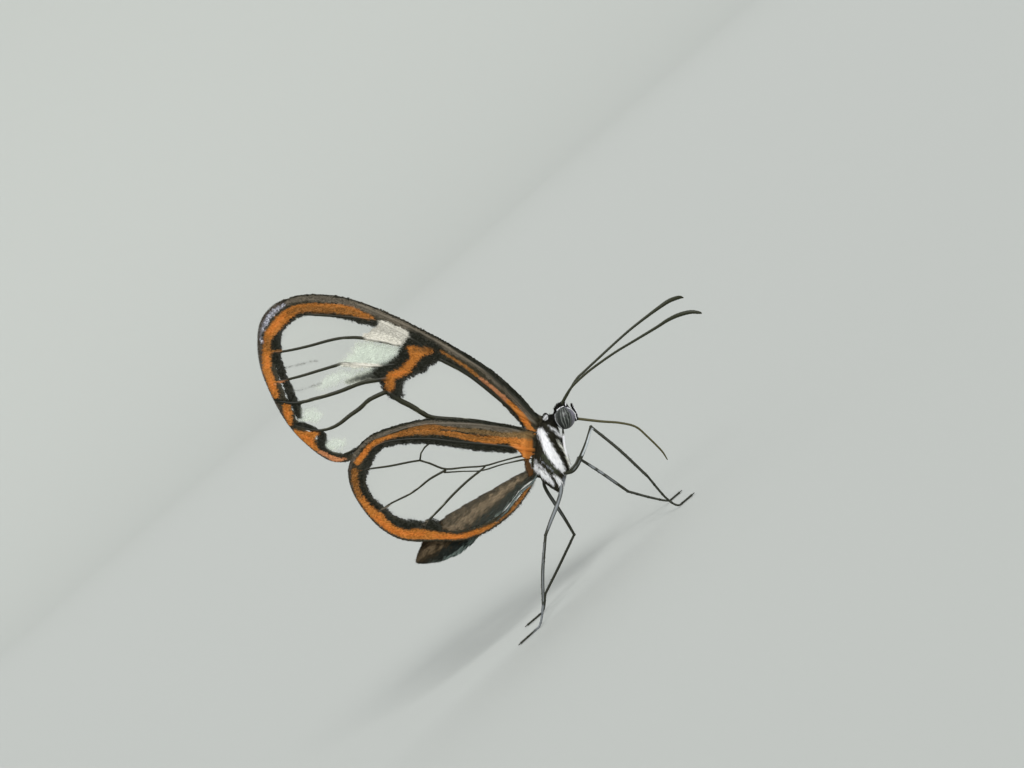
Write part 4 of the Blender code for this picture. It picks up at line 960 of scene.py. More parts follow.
for wing_name, wing in WINGS.items():
    net = wing["grid"]
    columns, rows = net.shape[:2]
    outward = np.gradient(net, axis=0)
    sideways = np.gradient(net, axis=1)
    area = np.abs(outward[..., 0] * sideways[..., 1] - outward[..., 1] * sideways[..., 0]).reshape(-1)
    lie_all = (outward / np.linalg.norm(outward, axis=2, keepdims=True)).reshape(-1, 2)
    unwrap_all = np.stack(
        np.meshgrid(np.linspace(0.02, 0.98, columns), np.linspace(0.02, 0.98, rows), indexing="ij"),
        axis=2,
    ).reshape(-1, 2)
    for side, sign in SIDES:
        draw = np.random.default_rng(21 if sign > 0 else 22)
        chance = SCALE_DENSITY * area * np.clip((wing["cover"] - SCALED_COVER) * 6.0, 0.0, 1.0)
        chosen = np.repeat(np.arange(len(area)), draw.poisson(chance))
        shift = draw.uniform(-0.5, 0.5, (len(chosen), 2))
        spots = net.reshape(-1, 2)[chosen]
        spots = spots + shift[:, :1] * outward.reshape(-1, 2)[chosen]
        spots = spots + shift[:, 1:] * sideways.reshape(-1, 2)[chosen]
        count = len(chosen)
        turn = draw.normal(0.0, SCALE_TURN, count)
        lie_x = lie_all[chosen, 0] * np.cos(turn) - lie_all[chosen, 1] * np.sin(turn)
        lie_z = lie_all[chosen, 0] * np.sin(turn) + lie_all[chosen, 1] * np.cos(turn)
        tips = spots + np.column_stack([lie_x, lie_z]) * SCALE_REACH
        beyond = np.clip(0.02 - reach_in_patch(tips, wing["outline"]), 0.0, 0.3)
        spots = spots - np.column_stack([lie_x, lie_z]) * beyond[:, None]
        lift = draw.uniform(0.03, 0.16, count)
        along = unit(np.column_stack([lie_x, sign * lift, lie_z]))
        out = np.tile([0.0, float(sign), 0.0], (count, 1))
        roots = wing_spots(wing, sign, spots) + (0.0, sign * MEMBRANE / 2, 0.0)
        sizes = drawn_sizes(draw, count, (0.17, 0.26), (0.075, 0.11), 0.05)
        paleness = wing["colour"][chosen].mean(axis=1)
        light = draw.lognormal(0.0, 0.2, count) ** np.clip(1.2 - 1.8 * paleness, 0.15, 1.2)
        tones = wing["colour"][chosen] * light[:, None]
        odd = (draw.random(count) < ODD_SCALES) & (paleness < 0.12)
        tones[odd] = 0.7 * tones[odd] + 0.3 * MOUSE * 1.2
        mesh = spread("scales", plate_shape(), roots, along, out, sizes, tones, unwrap_all[chosen])
        part = put(f"{wing_name}_{side}_scales", mesh, coat_finish)
        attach(part, "root")

        margin = even_line(wing["outline"], MARGIN_STEPS, closed=True)
        begin, end = (
            np.linalg.norm(margin - np.array(wing["outline"][corner]), axis=1).argmin()
            for corner in wing["fringed"]
        )
        stretch = margin[begin:end]
        edge = even_line(stretch[::6], int(length_of(stretch) / FRINGE_STEP))
        run = unit(np.gradient(edge, axis=0))
        away = np.column_stack([-run[:, 1], run[:, 0]])
        if ((edge - edge.mean(axis=0)) * away).sum() < 0:
            away = -away
        count = len(edge)
        along = np.column_stack([away[:, 0], draw.normal(0.0, 0.12, count), away[:, 1]])
        along[:, [0, 2]] += run * draw.normal(0.0, 0.25, (count, 1))
        along = unit(along)
        roots = wing_spots(wing, sign, edge) - along * FRINGE_ROOT
        out = np.tile([0.0, float(sign), 0.0], (count, 1))
        sizes = np.column_stack(
            [draw.uniform(0.09, 0.16, count), np.full(count, 0.04), np.full(count, 0.03)]
        )
        inner = (edge[:, 0] > INNER_MARGIN) & (draw.random(count) < INNER_HAIRS)
        sizes[inner, 0] *= INNER_HAIR_STRETCH
        tones = np.where(draw.random((count, 1)) < 0.25, MOUSE, UMBER)
        tones = tones * draw.uniform(0.7, 1.3, (count, 1))
        unwrap = np.column_stack([np.linspace(0.02, 0.98, count), np.full(count, 0.01)])
        mesh = spread("fringe", hair_shape(0.1), roots, along, out, sizes, tones, unwrap)
        part = put(f"{wing_name}_{side}_fringe", mesh, coat_finish)
        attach(part, "root")

# Body skin
# Thorax, abdomen and head are one soft-looking skin of dark horn plates, narrow at the neck
# and waist, with rings along the abdomen. It lies under the coat, whose bands it shares.
COAT_DEPTH = 0.12
THORAX = [
    (-0.30, 3.50, 0.20, 0.25), (-0.28, 3.28, 0.48, 0.55), (-0.33, 2.90, 0.77, 0.95),
    (-0.43, 2.30, 1.05, 1.25), (-0.48, 1.60, 1.24, 1.45), (-0.38, 0.70, 1.42, 1.60),
    (-0.28, -0.20, 1.60, 1.65), (-0.14, -1.10, 1.86, 1.60), (0.00, -1.80, 1.88, 1.50),
    (0.15, -2.40, 1.55, 1.30), (0.35, -3.00, 1.10, 1.05), (0.58, -3.60, 0.67, 0.75),
    (0.72, -4.00, 0.32, 0.40),
]
ABDOMEN = [
    (-0.30, -1.80, 0.62, 0.60), (-1.40, -2.20, 0.62, 0.60), (-2.70, -2.80, 0.68, 0.62),
    (-3.90, -3.65, 0.88, 0.72), (-5.50, -5.05, 1.30, 0.80), (-7.20, -6.30, 1.56, 0.84),
    (-8.50, -7.38, 1.86, 0.85), (-10.10, -8.68, 2.02, 0.85), (-11.65, -9.85, 1.58, 0.80),
    (-12.75, -10.65, 0.95, 0.55), (-13.45, -11.15, 0.32, 0.20),
]
NECK = [(-0.1, 2.9, 0.6, 0.6), (0.6, 3.4, 0.55, 0.6), (0.9, 3.6, 0.5, 0.6)]
HEAD_CENTRE = (0.98, 0.0, 3.70)
HEAD_RADII = (0.68, 0.86, 0.92)
BODY_SIDES = 32
ABDOMEN_RINGS = 9
RING_FLARE = 0.05
LEAST_HALF = 0.06
SKIN_VOXEL = 0.085
PAINTED_SKIN_SHADE = 0.92
AXIS_POINTS = 60
BAND_POINTS = 24
BODY_DARK = paint(40, 38, 28)
BODY_BLACK = paint(20, 20, 16)
BODY_WHITE = paint(253, 253, 255)
BODY_GREY = paint(214, 218, 228)
BODY_MOSS = paint(58, 61, 47)
ABDOMEN_BROWN = paint(76, 62, 42)
ABDOMEN_BEIGE_HIGHLIGHT = paint(138, 118, 92)
ABDOMEN_SLATE = paint(38, 44, 40)
ABDOMEN_BLUE = paint(75, 95, 100)
ABDOMEN_PALE = paint(140, 155, 148)
ABDOMEN_TAIL = paint(58, 49, 34)


def body_form(bm, sections, count, rings=0):
    """Oval form round its centre line in the side plane, with raised rings along it."""
    line = even_line(sections, count)
    hoops = []
    for i, (x, z, half_depth, half_width) in enumerate(line):
        after, before = line[min(i + 1, count - 1)], line[max(i - 1, 0)]
        along = Vector((after[0] - before[0], 0.0, after[1] - before[1])).normalized()
        deep = along.cross(Vector((0.0, 1.0, 0.0)))
        flare = 1.0 + RING_FLARE * (i / count * rings % 1.0 - 0.5) if rings else 1.0
        depth = max(half_depth * flare - COAT_DEPTH, LEAST_HALF)
        width = max(half_width * flare - COAT_DEPTH, LEAST_HALF)
        hoops.append(hoop(bm, Vector((x, 0.0, z)), along, deep, depth, width, BODY_SIDES))
    join_hoops(bm, hoops)


def egg(bm, centre, radii, rounds=40, rows=26):
    """Egg shape with its poles to the insect's left and right."""
    place = Matrix.Translation(Vector(centre)) @ Matrix.Diagonal((*radii, 1.0))
    turn = Matrix.Rotation(math.pi / 2, 4, "X")
    bmesh.ops.create_uvsphere(bm, u_segments=rounds, v_segments=rows, radius=1.0, matrix=place @ turn)


def on_centre_line(spots, sections):
    """Share along a body form, and how far up its back (1) or belly (-1) each spot lies."""
    line = even_line(sections, AXIS_POINTS)
    near = np.linalg.norm(spots[:, None, [0, 2]] - line[None, :, :2], axis=2).argmin(axis=1)
    run = unit(np.gradient(line[:, :2], axis=0))
    away = spots[:, [0, 2]] - line[near, :2]
    deep = away[:, 0] * run[near, 1] - away[:, 1] * run[near, 0]
    return near / (AXIS_POINTS - 1), deep / line[near, 2]


THORAX_STRIPES = [
    (BODY_MOSS, 0.3, [(-0.9, -0.2, 0.25), (-0.3, -1.2, 0.3), (0.3, -2.0, 0.25)]),
    (BODY_GREY * 0.55, 0.25, [(1.15, -2.6, 0.2), (1.2, -3.2, 0.2), (1.1, -3.8, 0.15)]),
    (BODY_WHITE, 0.16, [
        (-1.16, 2.2, 0.26), (-0.9, 1.5, 0.31), (-0.58, 0.6, 0.4), (-0.2, -0.1, 0.45), (0.26, -0.78, 0.43),
        (0.7, -1.4, 0.3), (1.16, -2.0, 0.14), (1.45, -2.35, 0.05),
    ]),
    (BODY_WHITE, 0.1, [(-0.4, 2.5, 0.06), (0.05, 2.25, 0.11), (0.4, 1.85, 0.11), (0.66, 1.66, 0.18)]),
    (BODY_BLACK, 0.08, [(0.55, 1.35, 0.06), (0.75, 1.1, 0.08), (1.0, 0.5, 0.05)]),
    (BODY_WHITE * (1.0, 1.0, 0.88), 0.06, [
        (0.3, 1.25, 0.05), (0.7, 0.55, 0.09), (1.0, 0.05, 0.11), (1.2, -0.4, 0.11), (1.5, -1.15, 0.1),
        (1.9, -1.8, 0.08),
    ]),
    (BODY_WHITE, 0.1, [
        (1.05, 1.7, 0.09), (1.2, 1.2, 0.1), (1.3, 0.6, 0.09), (1.35, 0.0, 0.07), (1.6, -0.9, 0.06),
        (1.92, -1.84, 0.06),
    ]),
    (BODY_GREY * 0.5, 0.05, [(-1.22, -0.72, 0.02), (-0.6, -1.28, 0.03), (-0.05, -1.78, 0.02)]),
    (BODY_WHITE * 0.92, 0.16, [
        (-1.98, -0.54, 0.2), (-1.6, -1.3, 0.34), (-1.05, -2.0, 0.36), (-0.45, -2.65, 0.26), (0.0, -3.2, 0.1),
    ]),
    (BODY_DARK * 1.6, 0.1, [
        (-1.72, -0.75, 0.03), (-1.45, -1.2, 0.06), (-1.2, -1.55, 0.04), (-0.8, -2.1, 0.05),
    ]),
    (BODY_WHITE, 0.1, [(-0.05, -2.2, 0.08), (0.4, -2.6, 0.2), (0.78, -3.14, 0.23), (1.05, -3.7, 0.15)]),
]


def mixed(first, second, share):
    """Colours between two others, the second where the share is 1."""
    share = share.reshape(-1, 1)
    return first * (1 - share) + second * share


def banded(ground, spots, jitter, stripes, count):
    """Soft-edged stripes over a plain colour; each has its colour, soft edge and points."""
    tone = np.tile(ground, (len(spots), 1))
    for stripe_tone, soft, line in stripes:
        reach = reach_in_stripe(spots[:, [0, 2]], even_line(line, count)) + jitter
        tone = mixed(tone, stripe_tone, np.clip(0.5 + reach / soft, 0.0, 1.0))
    return tone


def body_colour(spots):
    """Colour of skin and coat at points of the body: bands of white, grey, brown and black, and a painted
    highlight along the abdomen.
    """
    jitter = 0.03 * ripple(spots, 0.4, 31) + 0.05 * ripple(spots, 0.16, 35)
    tone = banded(BODY_DARK, spots, jitter, THORAX_STRIPES, BAND_POINTS)
    along, deep = on_centre_line(spots, ABDOMEN)
    deep = deep + 0.14 * ripple(spots, 0.8, 32) + 0.05 * ripple(spots, 0.25, 33)
    # Bands across the abdomen from belly to back; the beige band a little above the middle is a painted
    # highlight on the brown.
    bands = np.array([-1.1, -0.88, -0.72, -0.42, -0.12, 0.28, 0.62, 1.1])
    shades = np.array([
        ABDOMEN_SLATE, ABDOMEN_PALE, ABDOMEN_SLATE, ABDOMEN_SLATE, ABDOMEN_BROWN * 0.8,
        ABDOMEN_BEIGE_HIGHLIGHT, ABDOMEN_BROWN * 0.8, ABDOMEN_BROWN * 0.35,
    ])
    rear = np.column_stack([np.interp(deep, bands, shades[:, k]) for k in range(3)])
    rear = mixed(rear, ABDOMEN_TAIL, np.clip((along - 0.8) / 0.15, 0.0, 1.0) * 0.65)
    blue = np.clip(0.55 - np.abs(along - 0.33) * 4.0, 0.0, 1.0) * np.clip(-1.6 - deep * 2.4, 0.0, 1.0)
    rear = mixed(rear, ABDOMEN_BLUE, blue)
    coarse = 0.18 * ripple(spots, 0.5, 34) * np.clip(1.0 - np.abs(deep), 0.2, 1.0)
    rear = rear * (1.0 + 0.12 * ripple(spots, 0.18, 37) + coarse)[:, None]
    on_abdomen = np.clip((-0.9 - spots[:, 0]) * 2.0, 0.0, 1.0)
    on_abdomen *= np.clip((-1.2 - spots[:, 2]) * 2.0, 0.0, 1.0)
    on_abdomen *= np.clip((along - 0.1) * 12.0, 0.0, 1.0)
    on_head = np.clip((spots[:, 2] - 2.6 + 0.25 * spots[:, 0]) * 2.0, 0.0, 1.0)
    return mixed(mixed(tone, rear, on_abdomen), BODY_BLACK * 1.5, on_head)


bm = bmesh.new()
body_form(bm, THORAX, 40)
body_form(bm, ABDOMEN, 90, rings=ABDOMEN_RINGS)
body_form(bm, NECK, 8)
egg(bm, HEAD_CENTRE, HEAD_RADII)
rough = bpy.data.objects.new("rough_body", closed_mesh(bm, "rough_body"))
bpy.context.scene.collection.objects.link(rough)
fuse = rough.modifiers.new("fuse", "REMESH")
fuse.mode = "VOXEL"
fuse.voxel_size = SKIN_VOXEL
soften = rough.modifiers.new("soften", "SMOOTH")
soften.iterations = 6
soften.factor = 0.5
bpy.context.view_layer.update()
skin_mesh = bpy.data.meshes.new_from_object(rough.evaluated_get(bpy.context.evaluated_depsgraph_get()))
bpy.data.objects.remove(rough)
skin_spots = vertex_places(skin_mesh)
# The skin takes the coat's colours a little darker: painted shade under the hair.
stain(skin_mesh, body_colour(skin_spots) * PAINTED_SKIN_SHADE)
skin_finish = grained_finish("body_skin", 0.7, 0.2, 0.1, 0.8, 0.6, bump=(0.6, 0.03), detail=4.0)
skin_mesh.calc_loop_triangles()
triangles = np.array([triangle.vertices[:] for triangle in skin_mesh.loop_triangles])
skin = put("body_skin", skin_mesh, skin_finish)
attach(skin, "root")
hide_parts("thorax", "abdomen", "head")

# Body coat
# Hair scales cover the skin: long and shaggy on the thorax, flat and close on the abdomen,
# short on the head with a dark crest over the eyes. All lie back from the face.
HAIR_ROOT = 0.03
HAIR_THICKNESS = 0.035
corners = skin_spots[triangles]
normals = np.cross(corners[:, 1] - corners[:, 0], corners[:, 2] - corners[:, 0])
areas = np.linalg.norm(normals, axis=1) / 2
normals = unit(normals)
centres = corners.mean(axis=1)
is_head = (centres[:, 0] + 1.2 * (centres[:, 2] - 3.0) > 0.75) & (centres[:, 2] > 2.5)
is_abdomen = (centres[:, 0] < -1.2) & (centres[:, 2] < -1.6)
is_abdomen |= (centres[:, 0] < -2.1)
COATS = {
    "thorax_hair": {
        "where": ~is_head & ~is_abdomen, "count": 19800, "lie": (0.42, 0.0, -0.9), "lift": 0.26,
        "length": (0.3, 0.6), "width": (0.06, 0.1), "slot": "thorax_hair", "axis": THORAX,
        "breast": 0.9,
    },
    "abdomen_hair": {
        "where": is_abdomen, "count": 19000, "lie": (-0.77, 0.0, -0.64), "lift": 0.3,
        "length": (0.2, 0.46), "width": (0.04, 0.08), "slot": "abdomen_scales", "axis": ABDOMEN,
        "breast": 0.0,
    },
    "head_hair": {
        "where": is_head, "count": 6000, "lie": (0.25, 0.0, 0.9), "lift": 0.85,
        "length": (0.14, 0.42), "width": (0.03, 0.05), "slot": "head_hair", "axis": NECK,
        "breast": 0.0,
    },
}
for number, (coat_name, coat) in enumerate(COATS.items()):
    draw = np.random.default_rng(40 + number)
    share = areas * coat["where"]
    count = coat["count"]
    chosen = draw.choice(len(areas), count, p=share / share.sum())
    mix = draw.random((count, 2))
    mix = np.where(mix.sum(axis=1, keepdims=True) > 1, 1 - mix, mix)
    corner = corners[chosen]
    first, second, third = corner[:, 0], corner[:, 1], corner[:, 2]
    roots = first + mix[:, :1] * (second - first) + mix[:, 1:] * (third - first)
    out = normals[chosen]
    along = square_to(out, np.array(coat["lie"]) + draw.normal(0.0, 0.16, (count, 3)))
    breast = 1.0 + coat["breast"] * np.clip(out[:, 0] * 1.5 - 0.3, 0.0, 1.0)
    along = unit(along + out * (coat["lift"] * breast * draw.uniform(0.5, 1.5, count))[:, None])
    roots = roots - out * HAIR_ROOT
    sizes = drawn_sizes(draw, count, coat["length"], coat["width"], HAIR_THICKNESS)
    tones = body_colour(roots) * (1.0 + 0.16 * ripple(roots, 0.22, 36))[:, None]
    unevenness = np.clip(1.2 - 1.3 * tones.mean(axis=1), 0.1, 1.2)
    tones = tones * (draw.lognormal(0.0, 0.3, count) ** unevenness)[:, None]
    shares, deep = on_centre_line(roots, coat["axis"])
    unwrap = np.column_stack(
        [0.02 + 0.96 * shares, 0.5 + np.arctan2(roots[:, 1], deep) / (2 * math.pi) * 0.96]
    )
    mesh = spread(coat_name, hair_shape(0.25), roots, along, out, sizes, np.clip(tones, 0, 1), unwrap)
    part = put(coat_name, mesh, coat_finish)
    part.data.shade_flat()
    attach(part, "root")

# Eyes
# Two large domes of many tiny facets, glossy grey with dark upright stripes, sit on the
# cheeks, each ringed by short white scales on its upper and front edge.
EYE_CENTRE = (1.26, 0.60, 3.23)
EYE_RADII = (1.04, 0.86, 1.13)
EYE_STRIPES = ((-0.78, 0.5), (-0.36, 0.9), (-0.08, 1.0), (0.24, 0.9), (0.5, 0.8), (0.72, 0.6))
EYE_STRIPE_LEAN = math.radians(16.0)
EYE_GREY = paint(112, 116, 111)
EYE_DARK = paint(32, 35, 32)
EYE_LILAC = paint(128, 124, 140)
EYE_RIM = (
    (0.17, [(0.40, 3.98), (0.70, 4.20)]),
    (0.15, [(0.81, 4.28), (1.00, 4.36)]),
    (0.15, [(1.31, 4.46), (1.31, 4.70)]),
    (0.13, [(1.42, 4.30), (1.92, 4.06), (2.22, 3.72), (2.36, 3.25)]),
    (0.09, [(0.26, 3.67), (0.32, 3.06), (0.56, 2.62), (0.85, 2.30)]),
)
EYE_RIM_STEP = 0.035
EYE_RIM_DEPTH = 1.0
FACET = 0.045
eye_finish, tree, shader, marks, place = new_finish("eye_facets", 0.35, 0.3)
shader.inputs["Coat Weight"].default_value = 0.15
shader.inputs["Coat Roughness"].default_value = 0.2
facets = tree.nodes.new("ShaderNodeTexVoronoi")
facets.inputs["Scale"].default_value = 1 / (FACET * MM)
facets.inputs["Randomness"].default_value = 0.25
tree.links.new(place, facets.inputs["Vector"])
bump_by(tree, shader, facets.outputs["Distance"], 0.5, 0.02).invert = True
tree.links.new(marks.outputs["Color"], shader.inputs["Base Color"])
for side, sign in SIDES:
    bm = bmesh.new()
    centre = (EYE_CENTRE[0], sign * EYE_CENTRE[1], EYE_CENTRE[2])
    egg(bm, centre, EYE_RADII, rounds=96, rows=64)
    mesh = closed_mesh(bm, "eye")
    spots = (vertex_places(mesh) - np.array(centre)) / np.array(EYE_RADII)
    sideways = spots[:, 0] * math.cos(EYE_STRIPE_LEAN) + spots[:, 2] * math.sin(EYE_STRIPE_LEAN)
    upright = spots[:, 2] * math.cos(EYE_STRIPE_LEAN) - spots[:, 0] * math.sin(EYE_STRIPE_LEAN)
    across = sideways / np.sqrt(np.maximum(1 - upright**2, 0.05)) + 0.03 * ripple(spots, 0.6, 51)
    pale = np.zeros(len(spots))
    for stripe, strength in EYE_STRIPES:
        pale = np.maximum(pale, strength * np.clip(1.4 - np.abs(across - stripe) / 0.04, 0.0, 1.0))
    ground = mixed(EYE_DARK, EYE_LILAC, np.clip((across - 0.5) * 2.2, 0.0, 0.85))
    stain(mesh, mixed(ground, EYE_GREY, pale))
    part = put(f"eye_{side}_dome", mesh, eye_finish)
    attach(part, "root")
    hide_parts(f"eye_{side}")

    draw = np.random.default_rng(55)
    flat, lies, wide = [], [], []
    for width, line in EYE_RIM:
        line = even_line(line, max(4, int(length_of(np.array(line)) / EYE_RIM_STEP)))
        flat.append(line)
        lies.append(np.gradient(line, axis=0))
        wide.append(np.full(len(line), width))
    flat, lies, wide = np.vstack(flat), np.vstack(lies), np.concatenate(wide)
    count = len(flat)
    flat = flat + draw.normal(0.0, 0.012, (count, 2))
    off = (flat - np.array(EYE_CENTRE)[[0, 2]]) / np.array(EYE_RADII)[[0, 2]]
    outer_y = np.sqrt(np.maximum(1 - (off**2).sum(axis=1), 0.002))
    depth = np.maximum(EYE_CENTRE[1] + EYE_RADII[1] * outer_y, EYE_RIM_DEPTH)
    roots = np.column_stack([flat[:, 0], sign * depth, flat[:, 1]])
    out = unit(np.column_stack([off[:, 0] * 0.5, sign * np.maximum(outer_y, 0.6), off[:, 1] * 0.5]))
    along = unit(np.column_stack([lies[:, 0], draw.normal(0.0, 0.004, count), lies[:, 1]]))
    sizes = np.column_stack([draw.uniform(0.1, 0.18, count), wide * 0.9, np.full(count, 0.05)])
    tones = BODY_WHITE * draw.uniform(0.8, 1.0, (count, 1)) * np.where(wide < 0.1, 0.6, 1.0)[:, None]
    unwrap = np.column_stack([0.5 + off[:, 0] * 0.4, 0.5 + off[:, 1] * 0.4])
    mesh = spread("eye_ring", plate_shape(), roots + out * 0.015, along, out, sizes, tones, unwrap)
    part = put(f"eye_{side}_ring", mesh, coat_finish)
    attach(part, "root")

# Palps, tongue and antennae
# The palps curve up in front of the face, white with a dark tip. The tongue is uncoiled,
# two half tubes side by side. The antennae are dark ringed shafts that thicken to a club.
PALP = [
    (1.75, 0.30, 3.05, 0.12), (2.25, 0.33, 3.02, 0.14), (2.46, 0.35, 3.28, 0.15), (2.36, 0.36, 3.70, 0.15),
    (2.17, 0.37, 4.08, 0.12), (2.02, 0.38, 4.38, 0.07), (1.94, 0.38, 4.66, 0.02),
]
PROBOSCIS = [
    (1.70, 0.0, 3.15, 0.10), (2.50, 0.0, 3.12, 0.13), (4.90, 0.0, 2.85, 0.12), (6.80, 0.0, 2.70, 0.11),
    (8.40, 0.0, 2.30, 0.105), (9.60, 0.0, 1.30, 0.10), (11.00, 0.0, -0.10, 0.09), (11.60, 0.0, -1.00, 0.05),
]
ANTENNA = {
    "right": [
        (1.00, -0.35, 4.45, 0.14), (1.10, -0.42, 4.95, 0.12), (1.82, -0.55, 6.15, 0.115),
        (2.75, -0.70, 7.13, 0.115), (4.00, -0.92, 8.20, 0.115),
        (6.15, -1.35, 9.75, 0.115), (8.25, -1.80, 11.05, 0.12),
        (10.35, -2.25, 12.35, 0.14), (11.40, -2.50, 13.05, 0.17), (12.50, -2.75, 13.57, 0.20),
        (13.60, -3.00, 13.85, 0.19), (14.40, -3.14, 13.80, 0.14), (14.72, -3.18, 13.72, 0.05),
    ],
    "left": [
        (1.00, 0.35, 4.45, 0.14), (1.25, 0.50, 4.95, 0.12), (2.45, 1.00, 6.96, 0.115),
        (3.35, 1.35, 7.84, 0.115), (4.80, 1.90, 9.14, 0.115),
        (6.47, 2.50, 10.63, 0.115), (8.12, 3.10, 12.03, 0.12),
        (9.85, 3.75, 13.33, 0.14), (10.98, 4.20, 14.13, 0.17), (12.08, 4.55, 14.84, 0.20),
        (13.10, 4.83, 15.20, 0.18), (13.60, 4.97, 15.17, 0.05),
    ],
}
HORN = paint(34, 37, 16)
HORN_PALE = paint(84, 80, 48)
TONGUE_HORN = paint(70, 66, 38)
ANTENNA_STEP = 0.11
ANTENNA_JOINT = 0.33
TONGUE_STEP = 0.1
TONGUE_JOINT = 0.2
PALP_POINTS = 26
PALP_HAIRS = 900
PALP_TIP = 4.25
horn_finish = grained_finish("dark_horn", 0.5, 0.3, 0.08, 0.9, 0.55, bump=(0.4, 0.01))


def ringed_line(points, step, joint, swell):
    """Points along a limb whose radius swells at each short joint."""
    given = np.array(points)
    length = length_of(given[:, :3])
    line = even_line(given, int(length / step))
    travelled = np.linspace(0.0, length, len(line))
    line[:, 3] *= 1.0 + swell * np.abs(np.sin(travelled / joint * math.pi))
    return line


for side in ("left", "right"):
    bm = bmesh.new()
    line = ringed_line(ANTENNA[side], ANTENNA_STEP, ANTENNA_JOINT, 0.14)
    tube(bm, line, 10)
    mesh = closed_mesh(bm, "antenna")
    far = np.linalg.norm(vertex_places(mesh) - np.array(ANTENNA[side][0][:3]), axis=1)
    pale = np.clip(np.sin(far / ANTENNA_JOINT * math.pi * 2) * 2 - 1.2, 0.0, 1.0)
    stain(mesh, mixed(HORN, HORN_PALE, pale * np.clip(1.4 - far / 9.0, 0.15, 0.6)))
    part = put(f"antenna_{side}_shaft", mesh, horn_finish)
    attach(part, "root")
    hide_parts(f"antenna_{side}")

bm = bmesh.new()
for sign in (1, -1):
    line = ringed_line(PROBOSCIS, TONGUE_STEP, TONGUE_JOINT, 0.06)
    line[:, 1] += sign * line[:, 3] * 0.6
    tube(bm, line, 10)
mesh = closed_mesh(bm, "tongue")
stain(mesh, np.tile(TONGUE_HORN, (len(mesh.vertices), 1)))
part = put("tongue", mesh, horn_finish)
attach(part, "root")
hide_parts("proboscis")

for side, sign in SIDES:
    line = even_line(np.array(PALP) * (1.0, sign, 1.0, 1.0), PALP_POINTS)
    bm = bmesh.new()
    tube(bm, line, 12)
    mesh = closed_mesh(bm, "palp")
    stain(mesh, np.tile(BODY_BLACK * 1.3, (len(mesh.vertices), 1)))
    part = put(f"palp_{side}_shaft", mesh, coat_finish)
    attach(part, "root")
    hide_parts(f"palp_{side}")

    draw = np.random.default_rng(61)
    count = PALP_HAIRS
    at = draw.integers(2, PALP_POINTS - 2, count)
    run = unit(np.gradient(line[:, :3], axis=0))[at]
    out = square_to(run, draw.normal(0.0, 1.0, (count, 3)))
    roots = line[at, :3] + out * line[at, 3:4] * 0.9
    along = unit(run + out * draw.uniform(0.1, 0.35, (count, 1)))
    sizes = drawn_sizes(draw, count, (0.12, 0.24), (0.03, 0.05), 0.03)
    pale = roots[:, 2] < PALP_TIP + draw.normal(0.0, 0.08, count)
    pale &= out[:, 0] * 0.8 + out[:, 2] * 0.5 > 0.45
    tones = np.where(pale[:, None], BODY_WHITE, BODY_BLACK * 1.3) * draw.uniform(0.7, 1.1, (count, 1))
    around = np.arctan2(out[:, 1], out[:, 0])
    unwrap = np.column_stack([0.02 + 0.96 * at / (PALP_POINTS - 1), 0.5 + around / 6.6])
    mesh = spread("palp_hair", hair_shape(0.2), roots, along, out, sizes, tones, unwrap)
    part = put(f"palp_{side}_hair", mesh, coat_finish)
    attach(part, "root")

